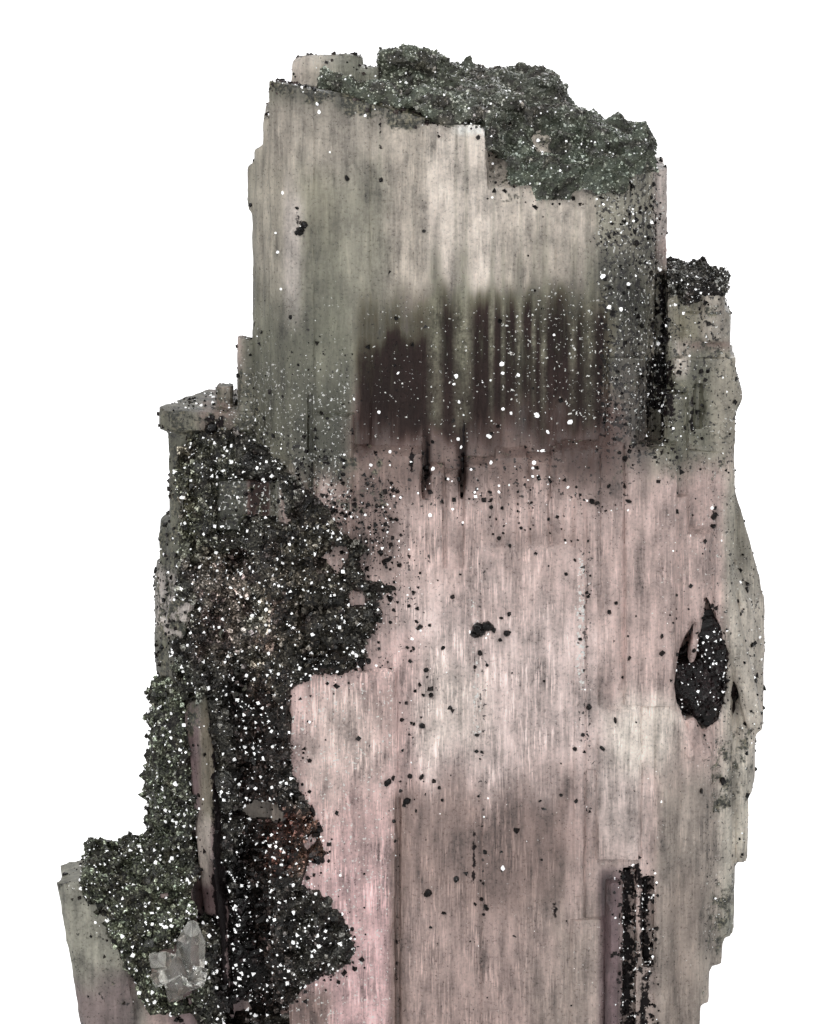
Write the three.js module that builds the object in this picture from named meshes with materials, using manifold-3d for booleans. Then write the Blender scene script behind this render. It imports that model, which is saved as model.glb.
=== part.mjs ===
// A blocky anhydrite crystal that stands on a flat cut base. Parallel prisms grew together into one stepped
// group with ribbed upright faces. Dark crusts of another mineral sit on its left side, termination, right
// shoulder and pocket, and a few small colourless crystals sit on the corner crystal.
// Millimetres, +Z up. The striated main face looks towards -Y.
import * as THREE from 'three';
import { mergeVertices } from 'three/addons/utils/BufferGeometryUtils.js';
import Module from 'manifold-3d';

// Driving dimensions
const HEIGHT = 63.8; // to the highest edge of the termination
const UPPER_WIDTH = 23.2; // of the upper prism, across its main face
const UPPER_DEPTH = 17.5;
const LEFT = -8.9; // x of the upper prism's left face
const FRONT = -11.0; // y of the upper prism's main face
const LEDGE_HEIGHT = 37.0; // to which the lower growth layer is whole; its plates end above that
const LEDGE_STEP = 0.6; // how far that layer stands in front of the upper face
const RIB_WIDTH = 1.5; // mean width of an upright rib
const RIB_DEPTH = 0.3; // the deepest step between ribs
const GAP = 0.3; // between a crust and the crystal
const CRUST = 0.9; // from the crystal to the outside of a crust, without its lumps
const CUTTER_SIZE = 90; // larger than the whole group

const RIGHT = LEFT + UPPER_WIDTH;
const LOWER_FRONT = FRONT - LEDGE_STEP;

const UP = new THREE.Vector3(0, 0, 1);
const TO_THE_BACK = new THREE.Vector3(0, 1, 0);

const wasm = await Module();
wasm.setup();

// Repeatable random numbers from 0 to 1
function randomFrom(seed) {
  let state = seed;
  return () => {
    state = (state + 0x6d2b79f5) | 0;
    let mixed = Math.imul(state ^ (state >>> 15), 1 | state);
    mixed = (mixed + Math.imul(mixed ^ (mixed >>> 7), 61 | mixed)) ^ mixed;
    return ((mixed ^ (mixed >>> 14)) >>> 0) / 4294967296;
  };
}

// Solids and back
function bareGeometry(geometry) {
  const bare = geometry.clone();
  bare.deleteAttribute('normal');
  bare.deleteAttribute('uv');
  return mergeVertices(bare, 1e-4);
}

function solidOf(geometry) {
  const merged = bareGeometry(geometry);
  return new wasm.Manifold(
    new wasm.Mesh({
      numProp: 3,
      vertProperties: merged.attributes.position.array,
      triVerts: new Uint32Array(merged.index.array),
    }),
  );
}

function geometryOf(solid) {
  const mesh = solid.getMesh();
  const geometry = new THREE.BufferGeometry();
  geometry.setAttribute('position', new THREE.BufferAttribute(new Float32Array(mesh.vertProperties), 3));
  geometry.setIndex(new THREE.BufferAttribute(new Uint32Array(mesh.triVerts), 1));
  geometry.computeVertexNormals();
  return geometry;
}

function joined(solids) {
  return solids.reduce((whole, solid) => whole.add(solid));
}

function largestBodyOf(solid) {
  return solid.decompose().reduce((a, b) => (b.volume() > a.volume() ? b : a));
}

// Takes off everything on the side of a plane that it faces
function cutBeyond(solid, at, facing) {
  const cutter = new THREE.BoxGeometry(CUTTER_SIZE, CUTTER_SIZE, CUTTER_SIZE);
  cutter.translate(0, 0, CUTTER_SIZE / 2);
  const direction = new THREE.Vector3(...facing).normalize();
  cutter.applyQuaternion(new THREE.Quaternion().setFromUnitVectors(UP, direction));
  cutter.translate(...at);
  return solid.subtract(solidOf(cutter));
}

// A rectangle with its corners cut off, counterclockwise from the front left
function boxPlan([x0, x1], [y0, y1], corner) {
  const c = Math.min(corner, (x1 - x0) / 3, (y1 - y0) / 3);
  return [
    [x0, y0 + c],
    [x0 + c, y0],
    [x1 - c, y0],
    [x1, y0 + c],
    [x1, y1 - c],
    [x1 - c, y1],
    [x0 + c, y1],
    [x0, y1 - c],
  ];
}

// Moves every side of a plan outwards by a distance
function outset(corners, distance) {
  return corners.map((corner, i) => {
    const before = corner.clone().sub(corners[(i + corners.length - 1) % corners.length]).normalize();
    const after = corners[(i + 1) % corners.length].clone().sub(corner).normalize();
    const outward = new THREE.Vector2(before.y + after.y, -before.x - after.x);
    return corner.clone().addScaledVector(outward, distance / (1 + before.dot(after)));
  });
}

// Breaks each side of a plan into upright ribs of uneven width and depth
function ribbed(corners, { width, depth, seed }) {
  const random = randomFrom(seed);
  const points = [];
  corners.forEach((start, i) => {
    const side = corners[(i + 1) % corners.length].clone().sub(start);
    const length = side.length();
    side.normalize();
    const inward = new THREE.Vector2(-side.y, side.x);
    const place = (at, sunk) => start.clone().addScaledVector(side, at).addScaledVector(inward, sunk);
    points.push(start.clone());
    let sunk = 0;
    let at = width * (0.4 + 0.8 * random());
    while (at < length - width * 0.8) {
      const next = depth * random();
      points.push(place(at, sunk), place(at + width * 0.08, next));
      sunk = next;
      at += width * (0.4 + 1.2 * random());
    }
    if (sunk > 0) points.push(place(length - width * 0.4, sunk), place(length - width * 0.32, 0));
  });
  return points;
}

// One upright prism of the group. grow moves every face outwards and leaves the ribs out.
function prism({ x, y, z, plan, corner = 0.5, ribs, lean = 0, cuts = [] }, grow = 0) {
  const wider = ([near, far]) => [near - grow, far + grow];
  const corners = (plan ?? boxPlan(wider(x), wider(y), corner)).map(([cx, cy]) => new THREE.Vector2(cx, cy));
  let outline = plan && grow ? outset(corners, grow) : corners;
  if (ribs && !grow) outline = ribbed(corners, ribs);
  const low = z[0] > 0 ? z[0] - grow : z[0];
  const geometry = new THREE.ExtrudeGeometry(new THREE.Shape(outline), {
    depth: z[1] + grow - low,
    bevelEnabled: false,
  });
  geometry.translate(0, 0, low);
  const foot = [(corners[0].x + corners[3].x) / 2, 0, z[0]];
  geometry.translate(-foot[0], 0, -foot[2]);
  const turn = new THREE.Quaternion().setFromAxisAngle(TO_THE_BACK, THREE.MathUtils.degToRad(lean));
  geometry.applyQuaternion(turn);
  geometry.translate(...foot);
  const moved = ([ax, ay, az], [fx, fy, fz]) => {
    const reach = grow / Math.hypot(fx, fy, fz);
    return [ax + fx * reach, ay + fy * reach, az + fz * reach];
  };
  return cuts.reduce((solid, [at, facing]) => cutBeyond(solid, moved(at, facing), facing), solidOf(geometry));
}

const ribs = (seed, width = RIB_WIDTH, depth = RIB_DEPTH) => ({ seed, width, depth });

// The upper prism, its rear ledge and the thin layers that step its left and right edges
const UPPER_PRISMS = [
  {
    x: [LEFT, 1.9],
    y: [FRONT, FRONT + UPPER_DEPTH],
    z: [0, 63.4],
    corner: 1.4,
    ribs: ribs(11, 1.6, 0.22),
    cuts: [
      [[LEFT, FRONT, 62.9], [0.17, 0.12, 1]],
      [[-5.4, FRONT, 62.1], [0.25, -0.277, 1]],
    ],
  },
  {
    x: [-2.0, 9.0],
    y: [FRONT, FRONT + UPPER_DEPTH],
    z: [0, 60.6],
    corner: 0.4,
    ribs: ribs(18, 1.7, 0.2),
    cuts: [[[1.9, FRONT, 60.2], [0.02, 0.04, 1]]],
  },
  {
    x: [4.0, RIGHT],
    y: [FRONT, 2.2],
    z: [0, 60.6],
    corner: 1.4,
    ribs: ribs(19, 1.6, 0.22),
    cuts: [[[9.2, 2.2, 59.2], [0.35, 0.03, 1]]],
  },
  {
    x: [-9.3, -7.6],
    y: [FRONT + 1.7, 3.4],
    z: [0, 60.3],
    ribs: ribs(12, 1.1, 0.2),
    cuts: [[[-9.3, 0, 60.1], [-0.2, 0.2, 1]]],
  },
  {
    x: [-9.8, -7.7],
    y: [FRONT + 2.5, 2.6],
    z: [0, 58.6],
    ribs: ribs(13, 1.2, 0.2),
    cuts: [[[-9.8, -8.5, 58.4], [-0.4, 0.2, 1]]],
  },
  {
    x: [-10.3, -8.5],
    y: [FRONT + 3.4, 0.8],
    z: [54.3, 57.4],
    corner: 0.3,
    cuts: [[[-10.3, -7.6, 57.3], [-0.3, 0.2, 1]]],
  },
  { x: [-10.0, -8.0], y: [FRONT + 3.2, 1.6], z: [0, 56.2], corner: 0.3, ribs: ribs(20, 1.3, 0.2) },
  {
    x: [-7.6, -3.2],
    y: [-4.6, 7.4],
    z: [0, HEIGHT],
    corner: 0.7,
    ribs: ribs(14, 2.0, 0.25),
    cuts: [[[-4.0, -4.6, HEIGHT], [-0.02, 0.19, 1]], [[-7.6, -4.6, 63.1], [-0.8, 0, 1]]],
  },
  { x: [-4.0, 1.0], y: [-4.4, 7.2], z: [0, 63.0], corner: 0.6, cuts: [[[-4, -4.4, 63], [0.02, 0.15, 1]]] },
  { x: [0.5, 2.3], y: [-3.4, 7.0], z: [0, 61.9], corner: 0.4, cuts: [[[0.5, -3.4, 61.8], [0.1, 0.1, 1]]] },
  { x: [1.8, 8.4], y: [-3.0, 5.6], z: [0, 61.3], corner: 0.5, cuts: [[[1.8, -3.0, 61.3], [0.02, 0.05, 1]]] },
  {
    x: [13.2, 14.9],
    y: [-9.6, 2.6],
    z: [0, 58.8],
    corner: 0.7,
    ribs: ribs(16, 1.2, 0.25),
    cuts: [[[14, 2.6, 57.0], [0.2, 0.12, 1]]],
  },
  { x: [13.5, 15.65], y: [-7.6, -1.5], z: [0, 57.0], corner: 0.4, ribs: ribs(17, 0.9, 0.3) },
];

// Small flat-ended prisms that stand in front of the main faces
const FRONT_PRISMS = [
  { x: [-6.2, -3.6], y: [-11.75, -9.5], z: [30, 42.3], corner: 0.25, ribs: ribs(21, 0.7, 0.12) },
  {
    x: [-12.4, -8.5],
    y: [-10.3, -6.0],
    z: [35.6, 38.3],
    corner: 0.35,
    cuts: [[[-12.4, -10.3, 37.9], [0, -0.15, 1]]],
  },
  { x: [-12.4, -10.4], y: [-10.1, -6.0], z: [34.6, 37.8], corner: 0.35, ribs: ribs(22, 0.8, 0.15) },
  { x: [11.8, 13.9], y: [-11.4, -9.0], z: [30, 45.8], corner: 0.25, ribs: ribs(23, 0.8, 0.12) },
  { x: [15.4, 16.9], y: [-9.9, -7.0], z: [30, 43.3], corner: 0.25, ribs: ribs(25, 0.7, 0.12) },
  { x: [11.9, 13.0], y: [-12.5, -10.5], z: [0, 13.0], corner: 0.35 },
  { x: [9.6, 11.9], y: [-12.15, -10.5], z: [0, 10.6], corner: 0.3, ribs: ribs(24, 0.6, 0.12) },
];

// The wider lower growth
const LOWER_PRISMS = [
  { x: [-8.2, 17.0], y: [LOWER_FRONT, 10.4], z: [0, LEDGE_HEIGHT], corner: 1.3, ribs: ribs(31, 2.0, 0.16) },
  {
    x: [14.6, 18.6],
    y: [-10.6, 9.0],
    z: [0, 37.8],
    corner: 0.8,
    ribs: ribs(35, 1.6, 0.25),
    cuts: [[[14.6, 0, 38], [0.1, -0.3, 1]]],
  },
  {
    x: [15.0, 19.7],
    y: [-9.4, 6.0],
    z: [0, 40.2],
    corner: 0.8,
    ribs: ribs(36, 1.6, 0.3),
    cuts: [[[15, 6, 38.4], [0.1, 0.1, 1]]],
  },
];

// Flat plates on the front of the lower growth: left, right, foot, top and how far they stand proud
const FRONT_PLATES = [
  [-7.8, -1.0, 0, 26.8, 0.4],
  [-3.8, 0.5, 20, 40.3, 0.05],
  [-1.3, 4.3, 0, 33.2, 0.12],
  [0.7, 1.9, 20, 39.2, 0.1],
  [1.9, 2.9, 20, 38.8, 0.0],
  [3.0, 5.2, 18, 39.6, 0.2],
  [4.1, 10.7, 0, 34.6, 0.28],
  [5.0, 7.1, 20, 40.2, 0.1],
  [6.3, 7.2, 20, 38.0, 0.3],
  [7.1, 8.4, 16, 39.9, 0.15],
  [8.4, 9.3, 20, 40.4, 0.0],
  [9.1, 11.5, 20, 40.6, 0.1],
  [9.8, 10.7, 12, 37.6, 0.4],
  [11.3, 14.1, 14.3, 24.4, 0.3],
  [11.4, 13.0, 20, 40.9, 0.05],
  [13.0, 16.2, 24, 40.4, 0.15],
];

function plate([left, right, foot, top, proud], grow) {
  const front = LOWER_FRONT - proud;
  const cuts = [[[0, front, top - 0.6], [0, -0.9, 1]]];
  return prism({ x: [left, right], y: [front, -8], z: [foot, top], corner: 0.18, cuts }, grow);
}

// The right shoulder, stepped in plan and in height, and the slanting flank behind it
const RIGHT_PRISMS = [
  {
    x: [15.2, 19.25],
    y: [-8.6, -0.8],
    z: [0, 49.9],
    corner: 0.35,
    ribs: ribs(41, 1.0, 0.2),
    cuts: [[[15.2, 0, 49.5], [0.16, 0, 1]]],
  },
  { x: [17.7, 19.25], y: [-9.3, -1.6], z: [46.4, 49.4], corner: 0.3, ribs: ribs(42, 0.8, 0.1) },
  { x: [16.4, 19.6], y: [-8.9, -1.2], z: [0, 48.2], corner: 0.35, ribs: ribs(45, 0.9, 0.15) },
  { x: [15.8, 19.95], y: [-9.1, -3.0], z: [0, 45.4], corner: 0.4, ribs: ribs(43, 1.1, 0.2) },
  {
    x: [17.0, 20.4],
    y: [-8.0, -1.6],
    z: [40.8, 44.6],
    corner: 0.4,
    cuts: [[[20.4, 0, 42.9], [1, 0, 0.32]], [[20.4, 0, 42.6], [1, 0, -0.45]]],
  },
  {
    x: [16.0, 22.0],
    y: [-5.4, 5.6],
    z: [0, 37.5],
    corner: 0.9,
    ribs: ribs(44, 1.7, 0.4),
    cuts: [[[22.1, -5.4, 29.8], [3.43, 0.6, 1]]],
  },
  {
    x: [17.4, 21.3],
    y: [-8.0, 2.0],
    z: [8.4, 32.0],
    corner: 0.7,
    ribs: ribs(46, 1.1, 0.35),
    cuts: [[[21.3, -8, 28.6], [2.2, -0.4, 1]]],
  },
];

// Steps that narrow the right edge towards the base
const RIGHT_EDGE_CUTS = [
  { x: [21.45, 25], y: [-12, 12], z: [-1, 20.9], corner: 0.2 },
  { x: [20.95, 25], y: [-12, 12], z: [-1, 17.5], corner: 0.2 },
  { x: [20.1, 25], y: [-12, 12], z: [-1, 13.2], corner: 0.2 },
  { x: [19.3, 25], y: [-13, 13], z: [-1, 8.6], corner: 0.2 },
  { x: [18.5, 25], y: [-13, 13], z: [-1, 6.9], corner: 0.2 },
  { x: [17.9, 25], y: [-13, 13], z: [-1, 4.6], corner: 0.2 },
];

// The columns at the left, lower and further back than the main face, under the dark crust
const SHOULDER_PLAN = [
  [-15.85, -7.0],
  [-15.2, -7.6],
  [-9.0, -7.6],
  [-9.0, 0.6],
  [-12.9, 0.6],
  [-14.6, -3.0],
  [-15.85, -6.0],
];
const LEFT_PRISMS = [
  { plan: SHOULDER_PLAN, z: [40.5, 42.0], cuts: [[[-15.8, -7.6, 41.9], [0.02, -0.03, 1]]] },
  { x: [-15.3, -9.0], y: [-7.4, 0.2], z: [0, 41.2], corner: 0.8, ribs: ribs(52, 1.8, 0.3) },
  {
    x: [-15.95, -9.0],
    y: [-6.4, 0.0],
    z: [24.6, 34.7],
    corner: 0.9,
    ribs: ribs(53, 1.8, 0.3),
    cuts: [[[-15.95, 0, 34], [-0.7, 0, 1]]],
  },
  { x: [-16.3, -9.0], y: [-5.8, 1.0], z: [24.6, 31.2], corner: 0.9, ribs: ribs(54, 1.8, 0.3) },
  { x: [-15.5, -9.0], y: [-6.0, 3.0], z: [0, 28.0], corner: 0.9 },
  {
    x: [-15.6, -8.4],
    y: [-1.0, 7.6],
    z: [0, 26.0],
    corner: 1.0,
    ribs: ribs(57, 2.0, 0.3),
    cuts: [[[-15.6, 0, 26], [-0.1, 0.1, 1]]],
  },
  {
    x: [-10.95, -9.4],
    y: [-7.4, -5.0],
    z: [38, 46.5],
    corner: 0.3,
    cuts: [[[-10.95, -6, 46.4], [0.25, 0.1, 1]]],
  },
  { x: [-12.3, -11.2], y: [-6.2, -4.6], z: [38, 43.2], corner: 0.2 },
  { x: [-13.6, -7.0], y: [-9.2, -4], z: [0, 31.0], corner: 0.8 },
  { x: [-14.8, -9.0], y: [-8.4, -4], z: [0, 27.0], corner: 0.9 },
];

// The thin leaning blade at the left, one edge forwards, and the corner crystal beside its foot
const BLADES = [
  {
    plan: [
      [-13.1, -10.5],
      [-12.1, -11.9],
      [-11.3, -11.0],
      [-11.5, -8.0],
      [-12.9, -8.0],
    ],
    z: [10.6, 24.8],
    lean: -5.5,
    cuts: [[[-13.3, 0, 24.4], [-0.6, 0, 1]]],
  },
  { x: [-12.0, -11.2], y: [-11.7, -8.0], z: [6.0, 12.0], corner: 0.2, lean: -4 },
];
const CORNER_PRISMS = [
  {
    x: [-18.6, -11.6],
    y: [-12.2, -4.0],
    z: [-2, 12.3],
    corner: 0.7,
    ribs: ribs(61, 1.6, 0.25),
    lean: -9,
    cuts: [[[-19.4, 0, 12.9], [-0.55, 0, 1]]],
  },
  { x: [-19.9, -17.8], y: [-11.8, -5.4], z: [-2, 13.1], corner: 0.5, ribs: ribs(62, 1.3, 0.2), lean: -9 },
  { x: [-16.9, -14.4], y: [-8.0, -4.4], z: [-2, 13.5], corner: 0.6, lean: -9 },
];

// A blocky crystal that stands out of the crust at the left
const STRAY_CRYSTAL = { x: [-15.7, -14.0], y: [-9.6, -6.6], z: [27.8, 30.4], corner: 0.45, lean: 14 };

// Rear columns that end in ledges at different heights
const REAR_PRISMS = [
  {
    x: [-13.6, -3.6],
    y: [2, 11.8],
    z: [0, 30.4],
    corner: 1.0,
    ribs: ribs(71, 2.7, 0.35),
    cuts: [[[-9, 7, 30], [-0.05, 0.08, 1]]],
  },
  {
    x: [-6.4, 4.4],
    y: [4, 13.2],
    z: [0, 46.6],
    corner: 0.9,
    ribs: ribs(72, 2.7, 0.35),
    cuts: [[[-1, 9, 46], [0.03, 0.1, 1]]],
  },
  {
    x: [3.6, 11.2],
    y: [3, 12.2],
    z: [0, 54.0],
    corner: 0.8,
    ribs: ribs(73, 2.7, 0.35),
    cuts: [[[7, 8, 53.4], [0.1, 0.05, 1]]],
  },
  {
    x: [9.8, 17.6],
    y: [2, 11.4],
    z: [0, 35.6],
    corner: 0.9,
    ribs: ribs(74, 2.7, 0.35),
    cuts: [[[14, 6, 35], [0.04, -0.05, 1]]],
  },
  { x: [-2.0, 1.6], y: [9, 13.9], z: [0, 24.0], corner: 0.5 },
];

// Notches, grooves and the crevice beside the shoulder
const GROOVES = [
  { x: [14.9, 15.6], y: [-14, -6.6], z: [43.4, 50.6], corner: 0.1 },
  { x: [14.4, 15.4], y: [-14, -7.6], z: [40.2, 45.2], corner: 0.1 },
  { x: [13.0, 13.8], y: [-14, -10.7], z: [-1, 13.7], corner: 0.1 },
  { x: [14.25, 14.9], y: [-14, -10.6], z: [7.4, 13.2], corner: 0.1 },
  { x: [0.5, 0.85], y: [-14, -10.8], z: [38.2, 40.8], corner: 0.05 },
  { x: [2.85, 3.15], y: [-14, -10.8], z: [38.0, 42.4], corner: 0.05 },
  { x: [-6.5, -6.2], y: [-14, -10.75], z: [40.0, 43.4], corner: 0.05 },
  { x: [17.3, 17.8], y: [-14, -8.4], z: [41.0, 43.8], corner: 0.1 },
  { x: [-1.15, -0.85], y: [-14, LOWER_FRONT + 0.08], z: [-1, 18.2], corner: 0.05 },
];

// The chipped slope at the front right of the termination, down which the crust spills
const CHIP = { x: [4.6, 20], depth: 20, tilt: 40, roll: -5, turn: -20, edge: [5.2, -6.6, 59.9] };

function chipCutter(shrink) {
  const geometry = new THREE.BoxGeometry(CHIP.x[1] - CHIP.x[0] - 2 * shrink, CHIP.depth, CHIP.depth);
  geometry.translate((CHIP.x[0] + CHIP.x[1]) / 2 - CHIP.edge[0], 2 - CHIP.depth / 2, CHIP.depth / 2 + shrink);
  geometry.rotateY(THREE.MathUtils.degToRad(CHIP.roll));
  geometry.rotateX(THREE.MathUtils.degToRad(CHIP.tilt));
  geometry.translate(...CHIP.edge);
  return solidOf(geometry);
}

// Directions to look from: u to the right, v up and w out of the crystal
const VIEWS = {
  front: { u: [1, 0, 0], v: [0, 0, 1], w: [0, -1, 0] },
  left: { u: [0, -1, 0], v: [0, 0, 1], w: [-1, 0, 0] },
  top: { u: [1, 0, 0], v: [0, 1, 0], w: [0, 0, 1] },
};

function viewMatrix(view) {
  const [u, v, w] = [view.u, view.v, view.w].map((axis) => new THREE.Vector3(...axis));
  return new THREE.Matrix4().makeBasis(u, v, w);
}

// Everything behind an outline, between two distances along the view
function region({ view, outline, reach }) {
  const corners = outline.map(([u, v]) => new THREE.Vector2(u, v));
  if (THREE.ShapeUtils.area(corners) < 0) corners.reverse();
  const depth = reach[1] - reach[0];
  const geometry = new THREE.ExtrudeGeometry(new THREE.Shape(corners), { depth, bevelEnabled: false });
  geometry.translate(0, 0, reach[0]);
  geometry.applyMatrix4(viewMatrix(VIEWS[view]));
  return solidOf(geometry);
}

// The leaf-shaped pocket at the right: pointed above, ragged below
const POCKET_OUTLINE = [
  [18.1, 30.7],
  [17.3, 29.0],
  [16.5, 27.4],
  [16.1, 25.2],
  [16.6, 22.7],
  [17.7, 21.9],
  [18.9, 22.7],
  [19.3, 24.4],
  [19.4, 26.2],
  [18.9, 28.6],
];
const POCKET_MIDDLE = [17.9, 26.0];
const POCKET_REACH = [7.6, 20]; // in front of the middle of the crystal
const POCKET_SLANT = 1.1; // its sides lean away from the middle, so they move in by this much more

function pocketCutter(shrink) {
  const outline = POCKET_OUTLINE.map(([x, z]) => {
    const fromMiddle = new THREE.Vector2(x - POCKET_MIDDLE[0], z - POCKET_MIDDLE[1]);
    fromMiddle.setLength(fromMiddle.length() - POCKET_SLANT * shrink);
    return [POCKET_MIDDLE[0] + fromMiddle.x, POCKET_MIDDLE[1] + fromMiddle.y];
  });
  return region({ view: 'front', outline, reach: [POCKET_REACH[0] + shrink, POCKET_REACH[1]] });
}

// Slivers round the pocket: a long slanting one at its right and broken stubs at its foot
const SLIVERS = [
  { x: [20.7, 21.9], y: [-9.4, -7.2], z: [22.0, 31.8], corner: 0.3, lean: -13 },
  { x: [16.9, 17.6], y: [-10.9, -7.4], z: [20.6, 23.8], corner: 0.2, lean: -20 },
  { x: [17.9, 18.6], y: [-10.7, -7.4], z: [20.4, 23.2], corner: 0.2, lean: -24 },
  { x: [16.9, 17.5], y: [-10.5, -7.4], z: [26.4, 30.4], corner: 0.15, lean: 9 },
];

function crystal(grow = 0) {
  const raised = [
    ...UPPER_PRISMS,
    ...FRONT_PRISMS,
    ...LOWER_PRISMS,
    ...RIGHT_PRISMS,
    ...LEFT_PRISMS,
    ...REAR_PRISMS,
    ...CORNER_PRISMS,
    ...BLADES,
    STRAY_CRYSTAL,
  ];
  const lowered = [...GROOVES, ...RIGHT_EDGE_CUTS];
  const prisms = raised.map((spec) => prism(spec, grow));
  const plates = FRONT_PLATES.map((spec) => plate(spec, grow));
  let solid = joined([...prisms, ...plates]);
  for (const spec of lowered) {
    const width = spec.x[1] - spec.x[0];
    if (width > 2 * grow) solid = solid.subtract(prism(spec, -grow));
  }
  solid = solid.subtract(chipCutter(grow)).subtract(pocketCutter(grow));
  solid = solid.add(joined(SLIVERS.map((spec) => prism(spec, grow))));
  return largestBodyOf(cutBeyond(solid, [0, 0, 0], [0, 0, -1]));
}

const LUMP_FLATNESS = 0.32;
const LUMP_RISE = 0.06;
const LUMP_SPREAD = 0.62; // radius of a lump for each millimetre between lumps

// An uneven angular lump, flattened along the direction it faces
function lump(centre, outward, radius, random) {
  const geometry = bareGeometry(new THREE.OctahedronGeometry(radius, 0));
  const position = geometry.getAttribute('position');
  for (let i = 0; i < position.count; i += 1) {
    const stretch = 0.8 + 0.4 * random();
    position.setXYZ(i, position.getX(i) * stretch, position.getY(i) * stretch, position.getZ(i) * stretch);
  }
  geometry.rotateX(random() * Math.PI);
  geometry.rotateY(random() * Math.PI);
  geometry.scale(1, 1, LUMP_FLATNESS);
  geometry.applyQuaternion(new THREE.Quaternion().setFromUnitVectors(UP, outward));
  geometry.translate(...centre.clone().addScaledVector(outward, LUMP_RISE).toArray());
  return solidOf(geometry);
}

// Lumps spread over the outside of a crust, where it reaches far enough round them to carry them
const AROUND = [
  [0, 0],
  [0.55, 0],
  [-0.55, 0],
  [0, 0.55],
  [0, -0.55],
];
const caster = new THREE.Raycaster();
const FAR_OUT = 80;

function isInside(outline, u, v) {
  let inside = false;
  outline.forEach(([ua, va], i) => {
    const [ub, vb] = outline[(i + 1) % outline.length];
    if (va > v !== vb > v && u < ((ub - ua) * (v - va)) / (vb - va) + ua) inside = !inside;
  });
  return inside;
}

function lumpsOn(mesh, { view, outline, spacing, seed }) {
  const random = randomFrom(seed);
  const matrix = viewMatrix(VIEWS[view]);
  const outward = new THREE.Vector3(...VIEWS[view].w);
  const radius = spacing * LUMP_SPREAD;
  const us = outline.map(([u]) => u);
  const vs = outline.map(([, v]) => v);
  const lumps = [];
  for (let v = Math.min(...vs); v < Math.max(...vs); v += spacing * 0.87) {
    for (let u = Math.min(...us); u < Math.max(...us); u += spacing) {
      const [du, dv, size] = [random(), random(), random()];
      const at = [u + spacing * 0.7 * (du - 0.5), v + spacing * 0.7 * (dv - 0.5)];
      if (!isInside(outline, ...at)) continue;
      const [point, ...around] = AROUND.map(([right, above]) => {
        const from = new THREE.Vector3(at[0] + right * radius, at[1] + above * radius, FAR_OUT);
        caster.set(from.applyMatrix4(matrix), outward.clone().negate());
        return caster.intersectObject(mesh)[0]?.point;
      });
      const isSupported = (near) => near && Math.abs(near.clone().sub(point).dot(outward)) < radius;
      if (!point || point.z < radius + 0.3 || !around.every(isSupported)) continue;
      lumps.push(lump(point, outward, radius * (0.8 + 0.4 * size), random));
    }
  }
  return lumps;
}

// A crust follows the crystal at a distance inside its outlines. One that fills a hollow is flat in front.
function crust(patches, cleared, grown) {
  const outlined = joined(patches.map(region));
  const base = (grown ? outlined.intersect(grown) : outlined).subtract(cleared);
  const mesh = new THREE.Mesh(geometryOf(base));
  const lumps = patches.flatMap((patch) => (patch.spacing ? lumpsOn(mesh, patch) : []));
  return largestBodyOf(base.add(joined(lumps)).subtract(cleared));
}

const LEFT_CRUST = [
  {
    view: 'front',
    reach: [4, 20],
    outline: [
      [-15.0, 39.4],
      [-13.2, 40.3],
      [-11.0, 40.9],
      [-9.4, 39.6],
      [-7.0, 38.0],
      [-5.2, 36.4],
      [-4.5, 35.0],
      [-3.0, 34.2],
      [-1.6, 33.1],
      [-1.0, 31.2],
      [-1.8, 30.0],
      [-2.7, 28.1],
      [-3.0, 26.6],
      [-4.9, 26.1],
      [-6.3, 26.3],
      [-7.3, 25.0],
      [-8.0, 23.1],
      [-7.5, 20.6],
      [-7.0, 18.7],
      [-5.7, 16.2],
      [-5.4, 14.4],
      [-6.7, 14.0],
      [-5.9, 12.7],
      [-4.9, 11.8],
      [-3.8, 9.9],
      [-3.6, 8.3],
      [-4.9, 7.1],
      [-6.4, 6.5],
      [-7.7, 5.2],
      [-8.9, 3.0],
      [-10.1, 0.8],
      [-12.9, 0.8],
      [-13.4, 4.4],
      [-16.6, 4.6],
      [-17.4, 7.0],
      [-19.2, 9.8],
      [-20.6, 12.4],
      [-20.9, 15.0],
      [-17.5, 16.6],
      [-16.4, 16.0],
      [-17.2, 18.0],
      [-17.0, 23.4],
      [-15.4, 25.0],
      [-14.9, 29.0],
      [-14.8, 35.0],
    ],
    spacing: 2.7,
    seed: 101,
  },
  {
    view: 'left',
    reach: [12, 20],
    outline: [
      [8.0, 24.4],
      [5.0, 23.2],
      [1.0, 22.4],
      [-3.0, 20.0],
      [-6.4, 14.0],
      [-2.0, 10.6],
      [3.0, 10.0],
      [8.4, 12.6],
    ],
    spacing: 3.0,
    seed: 102,
  },
];
// A strip of the crust that runs down the chipped slope to a height of its own
function chipPatch(left, right, foot) {
  const outline = [
    [left, -12.6],
    [right, -12.6],
    [right, -6],
    [left, -6],
  ];
  return { view: 'top', reach: [foot, 66], outline };
}

const TOP_CRUST = [
  {
    view: 'top',
    reach: [58.6, 66],
    outline: [
      [-3.6, -10.9],
      [-1.2, -10.7],
      [1.0, -11.2],
      [3.4, -10.8],
      [5.6, -11.3],
      [7.0, -8.4],
      [13.8, -8.2],
      [15.0, -4.6],
      [14.4, 2.6],
      [9.4, 2.4],
      [8.8, 6.6],
      [-2.2, 6.9],
      [-2.2, -5.7],
      [-6.2, -7.6],
    ],
    spacing: 3.0,
    seed: 103,
  },
  { ...chipPatch(5.6, 7.6, 56.6), spacing: 2.4, seed: 107 },
  { ...chipPatch(7.3, 9.6, 55.6), spacing: 2.4, seed: 108 },
  { ...chipPatch(9.4, 11.4, 56.2), spacing: 2.4, seed: 109 },
  { ...chipPatch(11.2, 13.2, 55.8), spacing: 2.4, seed: 110 },
  { ...chipPatch(13.0, 15.1, 57.2), spacing: 2.4, seed: 111 },
];
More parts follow.
